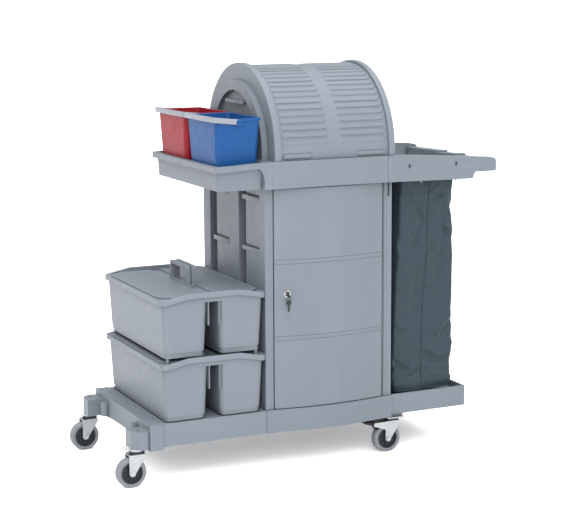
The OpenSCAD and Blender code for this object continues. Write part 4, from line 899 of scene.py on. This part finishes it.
def make_deck_shadow_strips():
    """Dark strips of painted shadow on the deck round the feet of the lower caddy, where the gap under
    the foot falls into shade.
    """
    form = Form()
    # Painted shadow: dark strips where the caddy's foot meets the deck
    for x in (-COMP_X, COMP_X):
        places, outs = plan_loop(*FOOT_HALF, FOOT_CORNER)
        form.sweep([spot(CADDY_X + x + a, b, BASE_TOP) for a, b in places],
                   [Vector((a, b, 0)) for a, b in outs], SHADOW_STRIP_PROFILE)
    form.piece("deck_shadow_strips", "key_bow", "cart_frame")


bucket_trims("blue", -1)
bucket_trims("red", 1)
caddy_trims(0, "lower")
caddy_trims(1, "upper")
make_deck_shadow_strips()


# Cabinet

WALL_FACES = ((453.0, -1), (929.0, 1))
LEDGES_Y = ((-218.0, -82.0), (35.0, 171.0))
LEDGES_Z = ((729.0, 745.5), (904.0, 920.5))
# The door: middle and half of its width, the face at its edges and the bulge of its bow
DOOR_X = 689.5
DOOR_HALF = 204.5
DOOR_FACE = -269.0
DOOR_BULGE = 22.0
TICKS_X = (595.0, 803.0)
TICKS_Z = (449.0, 708.0)
# Opposite corners of the dark box of painted shade in the hinge slot, and of the lip beside the door's
# knuckle
HINGE_SLOT_SHADOW = ((912.5, -267.5, 905.0), (920.0, -265.5, 951.0))
DOOR_JAMB = ((897.2, -263.2, 207.5), (901.0, -258.0, 955.0))
BACK_Y = 267.0
BACK_X = 691.0
BACK_HALF = 170.0
BACK_CORNER = 28.0
BACK_FRAMES_Z = ((246.0, 566.0), (596.0, 916.0))
BACK_BEAD = (6.0, 2.6)


def make_ledges():
    """Bars under the slots of the side walls, reaching over the columns."""
    for (face, out), side in zip(WALL_FACES, ("left", "right")):
        form = Form()
        for y0, y1 in LEDGES_Y:
            for z0, z1 in LEDGES_Z:
                ends = sorted((face - out * 4.0, face + out * 1.5))
                form.bar((ends[0], y0, z0), (ends[1], y1, z1), 1.6, "y")
        form.piece(f"wall_ledges_{side}", "body_plastic", "cart_frame")


def make_door_ticks():
    """Short bars across the door's paired grooves."""
    form = Form()
    for x in TICKS_X:
        face = DOOR_FACE - DOOR_BULGE * (1 - ((x - DOOR_X) / DOOR_HALF) ** 2)
        for z in TICKS_Z:
            form.bar((x - 1.6, face - 0.5, z - 8.5), (x + 1.6, face + 2.0, z + 8.5), 0.9, "z")
    form.piece("door_ticks", "body_plastic", "door_leaf")


def make_hinge_slot_shadow():
    """Dark box of painted shade in the slot beside the door's upper hinge."""
    form = Form()
    form.bar(*HINGE_SLOT_SHADOW, 0.8, "z")
    form.piece("hinge_slot_shadow", "key_bow", "cart_frame")


def make_door_jamb():
    """Lip of the right post beside the door's knuckle."""
    form = Form()
    form.bar(*DOOR_JAMB, 0.6, "z")
    form.piece("door_jamb", "body_plastic", "cart_frame")


def make_back_frames():
    """Raised beads that stiffen the back panel."""
    form = Form()
    half, high = BACK_BEAD
    bead = [(-half, -0.5)] + [(half * math.cos(t), high * math.sin(t))
                              for t in np.linspace(math.pi, 0, 9)] + [(half, -0.5)]
    for z0, z1 in BACK_FRAMES_Z:
        places, outs = plan_loop(BACK_HALF, (z1 - z0) / 2, BACK_CORNER, step=40.0)
        path = [spot(BACK_X + a, BACK_Y, (z0 + z1) / 2 + b) for a, b in places]
        form.sweep(path, [Vector((a, 0, b)) for a, b in outs], bead, up=Vector((0, 1, 0)))
    form.piece("back_beads", "body_plastic", "cart_frame")


make_ledges()
make_door_ticks()
make_hinge_slot_shadow()
make_door_jamb()
make_back_frames()


# Bag frame

HOOK_X = (982.0, 1166.0)
HOOK_Z = 1006.0
ARM_FACE = 298.0
HOOK_R = 6.2
HOOK_WIRE = 0.0022
HOOK_LEG = 0.35
HOOK_LEG_RISE = 13.0
HOOK_DEEP = 2.2
DISH_PROFILE = (
    (0, -4.4), (11.2, -4.4), (11.2, -0.6), (10.6, -0.2), (9.4, -0.8), (7.0, -2.4), (4.5, -3.2),
    (0, -3.4),
)
SLOT_DEEP = 3.0
# Opposite corners of the dark box of painted shade in the slot, from the middle of the pocket's floor
HOOK_SLOT_SHADOW = ((-3.4, -0.7, -6.0), (3.4, 0.7, 9.0))


def hook_path(x, side):
    """Open U of a hook with its legs up."""
    path = []
    for t in np.linspace(-HOOK_LEG, 1 + HOOK_LEG, 14):
        a = math.pi * min(1.0, max(0.0, t))
        drop = HOOK_R * math.sin(a) if 0 <= t <= 1 else HOOK_LEG_RISE * min(t, 1 - t)
        path.append(spot(x - HOOK_R * math.cos(a), side * (ARM_FACE - HOOK_DEEP), HOOK_Z - 1.0 - drop))
    return path


def make_hooks():
    """Dished pockets with an open hook in each, and a dark box of painted shade in the slot of each
    pocket's floor.
    """
    dishes, hooks, slots = Form(), Form(), Form()
    for side in (-1, 1):
        for x in HOOK_X:
            dishes.lathe(spot(x, side * ARM_FACE, HOOK_Z), (0, side, 0), DISH_PROFILE)
            hooks.tube(hook_path(x, side), HOOK_WIRE, 8)
            floor = Vector((x, side * (ARM_FACE - SLOT_DEEP), HOOK_Z))
            # Painted shade: a dark box stands for the shade inside the slot
            slots.bar(*(floor + Vector(corner) for corner in HOOK_SLOT_SHADOW), 0.6, "z")
    dishes.piece("hook_dishes", "body_plastic", "cart_frame")
    slots.piece("hook_slot_shadows", "key_bow", "cart_frame")
    hooks.piece("tool_hooks", "body_plastic", "cart_frame", ["frame_hooks"])


make_hooks()


# Casters

CASTER_X = {"l": 0.0, "r": 945.0}
CASTER_Y = {"f": -243.0, "b": 243.0}
TRAIL = 22.0
AXLE_Z = 50.0
FORK_FACE = 21.5
EMBOSS = ((-27.5, 66.0), (-27.5, 103.5), (13.0, 103.5), (-9.0, 68.0))
EMBOSS_CORNER = 7.0
EMBOSS_PROFILE = ((-1.6, -0.4), (-1.0, 0.5), (0.0, 0.8), (1.0, 0.5), (1.6, -0.4))
RACE_PROFILE = (
    (15, 112.3), (23.6, 112.1), (25.4, 113.2), (26.0, 116.0), (25.4, 119.6), (23.4, 121.4),
    (15, 121.4),
)
WASHER_PROFILE = ((5.2, -0.3), (10.6, -0.3), (10.6, 0.9), (10.0, 1.3), (5.2, 1.3))
BAND_PROFILE = (
    (31.6, 13.0), (32.4, 16.2), (33.4, 16.8), (35.2, 16.8), (36.4, 16.0), (36.4, 13.0),
)
SPOKES = 10
# Stations of a spoke in metres: radius, half width and top, over a common foot
SPOKE_ROWS = ((0.0112, 0.0016, 0.0152), (0.0220, 0.0013, 0.0145), (0.0322, 0.0013, 0.0140))
SPOKE_FOOT = 0.0098
# A pedal's treads as shares of its length, and its distance from the swivel axis, length, height and rise
TREADS = (0.45, 0.60, 0.75, 0.90)
PEDAL_X = 72.0
PEDAL_L = 38.0
PEDAL_Z = 109.5
PEDAL_RISE = 5.0
TREAD_HALF = (1.5, 13.0)
CAP_X = 4.0
HOUSING_TOP = 186.0
CAP_RING = ((5.0, -0.6), (5.4, 0.5), (6.6, 0.9), (7.8, 0.5), (8.4, -0.6))
# Section of the dark disc of painted shade inside each ring
CAP_HOLE_SHADOW = ((0, -0.4), (5.4, -0.4), (5.4, 0.15), (0, 0.05))


def ring_path(points, corner, steps=4):
    """Closed path through points with rounded corners."""
    path = []
    n = len(points)
    for i in range(n):
        p = Vector(points[i])
        to_last = (Vector(points[i - 1]) - p).normalized() * corner
        to_next = (Vector(points[(i + 1) % n]) - p).normalized() * corner
        for k in range(steps + 1):
            t = k / steps
            path.append((1 - t) ** 2 * (p + to_last) + 2 * t * (1 - t) * p + t * t * (p + to_next))
    return path


def caster_trims(corner):
    """Swivel race, pressed fork beads, washers, spokes and hub bands of a caster."""
    cx, cy = CASTER_X[corner[1]], CASTER_Y[corner[0]]
    race = Form()
    race.lathe(spot(cx, cy, 0), UP, RACE_PROFILE)
    race.piece(f"swivel_race_{corner}", "wheel_hub", "cart_frame")
    pressed, washers = Form(), Form()
    for side in (-1, 1):
        face = cy + side * FORK_FACE
        path = ring_path(EMBOSS, EMBOSS_CORNER)
        middle = sum(path, Vector((0, 0))) / len(path)
        outs = [(p - middle).normalized() for p in path]
        pressed.sweep([spot(cx + p.x, face, p.y) for p in path], [Vector((o.x, 0, o.y)) for o in outs],
                      EMBOSS_PROFILE, up=Vector((0, side, 0)))
        washers.lathe(spot(cx - TRAIL, face, AXLE_Z), (0, side, 0), WASHER_PROFILE)
    pressed.piece(f"fork_beads_{corner}", "zinc_steel", f"caster_{corner}")
    washers.piece(f"axle_washers_{corner}", "zinc_steel", f"caster_{corner}")
    spokes, bands = Form(), Form()
    for side in (-1, 1):
        centre = spot(cx - TRAIL, cy, AXLE_Z)
        high = Vector((0, side, 0))
        bands.lathe(centre, high, BAND_PROFILE, 56)
        for i in range(SPOKES):
            t = 2 * math.pi * i / SPOKES
            run, across = Vector((math.cos(t), 0, math.sin(t))), Vector((-math.sin(t), 0, math.cos(t)))
            spokes.rings([[centre + run * r + across * (w * half) + high * h for w, h in (
                (-1, SPOKE_FOOT), (1, SPOKE_FOOT), (0.7, top), (-0.7, top))]
                for r, half, top in SPOKE_ROWS])
    spokes.piece(f"hub_spokes_{corner}", "wheel_hub", f"wheel_{corner}")
    bands.piece(f"hub_bands_{corner}", "wheel_hub", f"wheel_{corner}")


def pedal_treads(corner):
    """Grip bars across a brake pedal."""
    cx, cy = CASTER_X["r"], CASTER_Y[corner[0]]
    form = Form()
    half_x, half_y = TREAD_HALF
    for share in TREADS:
        x, z = cx - PEDAL_X - PEDAL_L * share, PEDAL_Z + PEDAL_RISE * share
        form.bar((x - half_x, cy - half_y, z - 0.8), (x + half_x, cy + half_y, z + 0.9), 0.8, "y")
    form.piece(f"pedal_treads_{corner}", "brake_pedal", f"pedal_{corner}")


def make_housing_caps():
    """Ringed openings on top of the caster housings, with dark discs of painted shade in them."""
    rings, hole_shadows = Form(), Form()
    for y in CASTER_Y.values():
        centre = spot(CAP_X, y, HOUSING_TOP)
        rings.lathe(centre, UP, CAP_RING)
        # Painted shade: a dark disc stands for the shade inside the opening
        hole_shadows.lathe(centre, UP, CAP_HOLE_SHADOW)
    rings.piece("housing_rings", "body_plastic", "cart_frame")
    hole_shadows.piece("housing_hole_shadows", "key_bow", "cart_frame")


for corner in CORNERS:
    caster_trims(corner)
pedal_treads("fr")
pedal_treads("br")
make_housing_caps()


# Stage, light and camera

FLOOR_SIZE = 4000.0
# The studio is brighter towards the left front: direction, and strength behind and ahead
BRIGHT_SIDE = (-0.28, -0.88, 0.38)
SKY = (0.55, 1.70)
FLOOR_PALE = (0.82, 0.82, 0.82, 1.0)
FLOOR_CLOUD = (0.81, 0.81, 0.81, 1.0)
FLOOR_GLOW = 0.28


def make_floor():
    """Pale floor, faintly lit from below like a photographer's table."""
    bpy.ops.mesh.primitive_plane_add(size=FLOOR_SIZE, location=(0, 0, 0))
    floor = bpy.context.object
    floor.name = "floor"
    finish = Finish("floor", FLOOR_PALE, 0.9, Specular_IOR_Level=0.05,
                    Emission_Color=(1.0, 1.0, 1.0, 1.0), Emission_Strength=FLOOR_GLOW)
    finish.tint(finish.ramp(finish.noise(0.6, 2.0), 0.4, 0.7, 0.0, 0.3), FLOOR_CLOUD)
    floor.data.materials.append(finish.material)


def hang_lamp(name, data, place, target):
    """Puts a light at a place, turned towards a target."""
    lamp = bpy.data.objects.new(name, data)
    scene.collection.objects.link(lamp)
    lamp.location = place
    lamp.rotation_euler = (Vector(target) - Vector(place)).to_track_quat("-Z", "Y").to_euler()


def sun(name, place, strength, spread):
    """A soft distant light that shines from a place towards the origin."""
    data = bpy.data.lights.new(name, "SUN")
    data.energy = strength
    data.angle = math.radians(spread)
    hang_lamp(name, data, place, (0, 0, 0))


def area_light(name, place, target, size, power, colour):
    """A soft box."""
    data = bpy.data.lights.new(name, "AREA")
    data.shape = "RECTANGLE"
    data.size, data.size_y = size
    data.energy = power
    data.color = colour
    hang_lamp(name, data, place, target)


def make_studio():
    """White room that is brighter on one side, a broad light above and a soft box in front."""
    world = bpy.data.worlds.new("studio")
    scene.world = world
    world.use_nodes = True
    tree = world.node_tree
    background = tree.nodes["Background"]
    background.inputs["Color"].default_value = (1.0, 1.0, 1.0, 1.0)
    facing = tree.nodes.new("ShaderNodeVectorMath")
    facing.operation = "DOT_PRODUCT"
    facing.inputs[1].default_value = BRIGHT_SIDE
    tree.links.new(tree.nodes.new("ShaderNodeTexCoord").outputs["Generated"], facing.inputs[0])
    fade = tree.nodes.new("ShaderNodeMapRange")
    for socket, number in zip(("From Min", "From Max", "To Min", "To Max"), (-1.0, 1.0, *SKY)):
        fade.inputs[socket].default_value = number
    tree.links.new(facing.outputs["Value"], fade.inputs["Value"])
    tree.links.new(fade.outputs["Result"], background.inputs["Strength"])
    sun("top", place=(-0.5, -0.4, 4.0), strength=4.9, spread=90)
    area_light("key", place=(-1.2, -3.3, 2.4), target=(-0.1, -0.2, 0.6), size=(2.0, 2.0), power=92,
               colour=(0.98, 1.0, 1.02))
    scene.view_settings.view_transform = "Standard"


def make_camera():
    """The photograph's camera."""
    data = bpy.data.cameras.new("photo")
    data.lens = CAMERA_LENS
    data.sensor_width = CAMERA_SENSOR
    data.shift_x, data.shift_y = CAMERA_SHIFT
    data.clip_end = FLOOR_SIZE
    camera = bpy.data.objects.new("photo", data)
    scene.collection.objects.link(camera)
    azimuth, elevation = math.radians(CAMERA_AZIMUTH), math.radians(CAMERA_ELEVATION)
    back = Vector((math.sin(azimuth) * math.cos(elevation),
                   -math.cos(azimuth) * math.cos(elevation), math.sin(elevation)))
    camera.location = CAMERA_PLACE
    camera.rotation_mode = "QUATERNION"
    roll = Quaternion((0, 0, 1), math.radians(CAMERA_ROLL))
    camera.rotation_quaternion = (-back).to_track_quat("-Z", "Y") @ roll
    scene.camera = camera


make_floor()
make_studio()
make_camera()
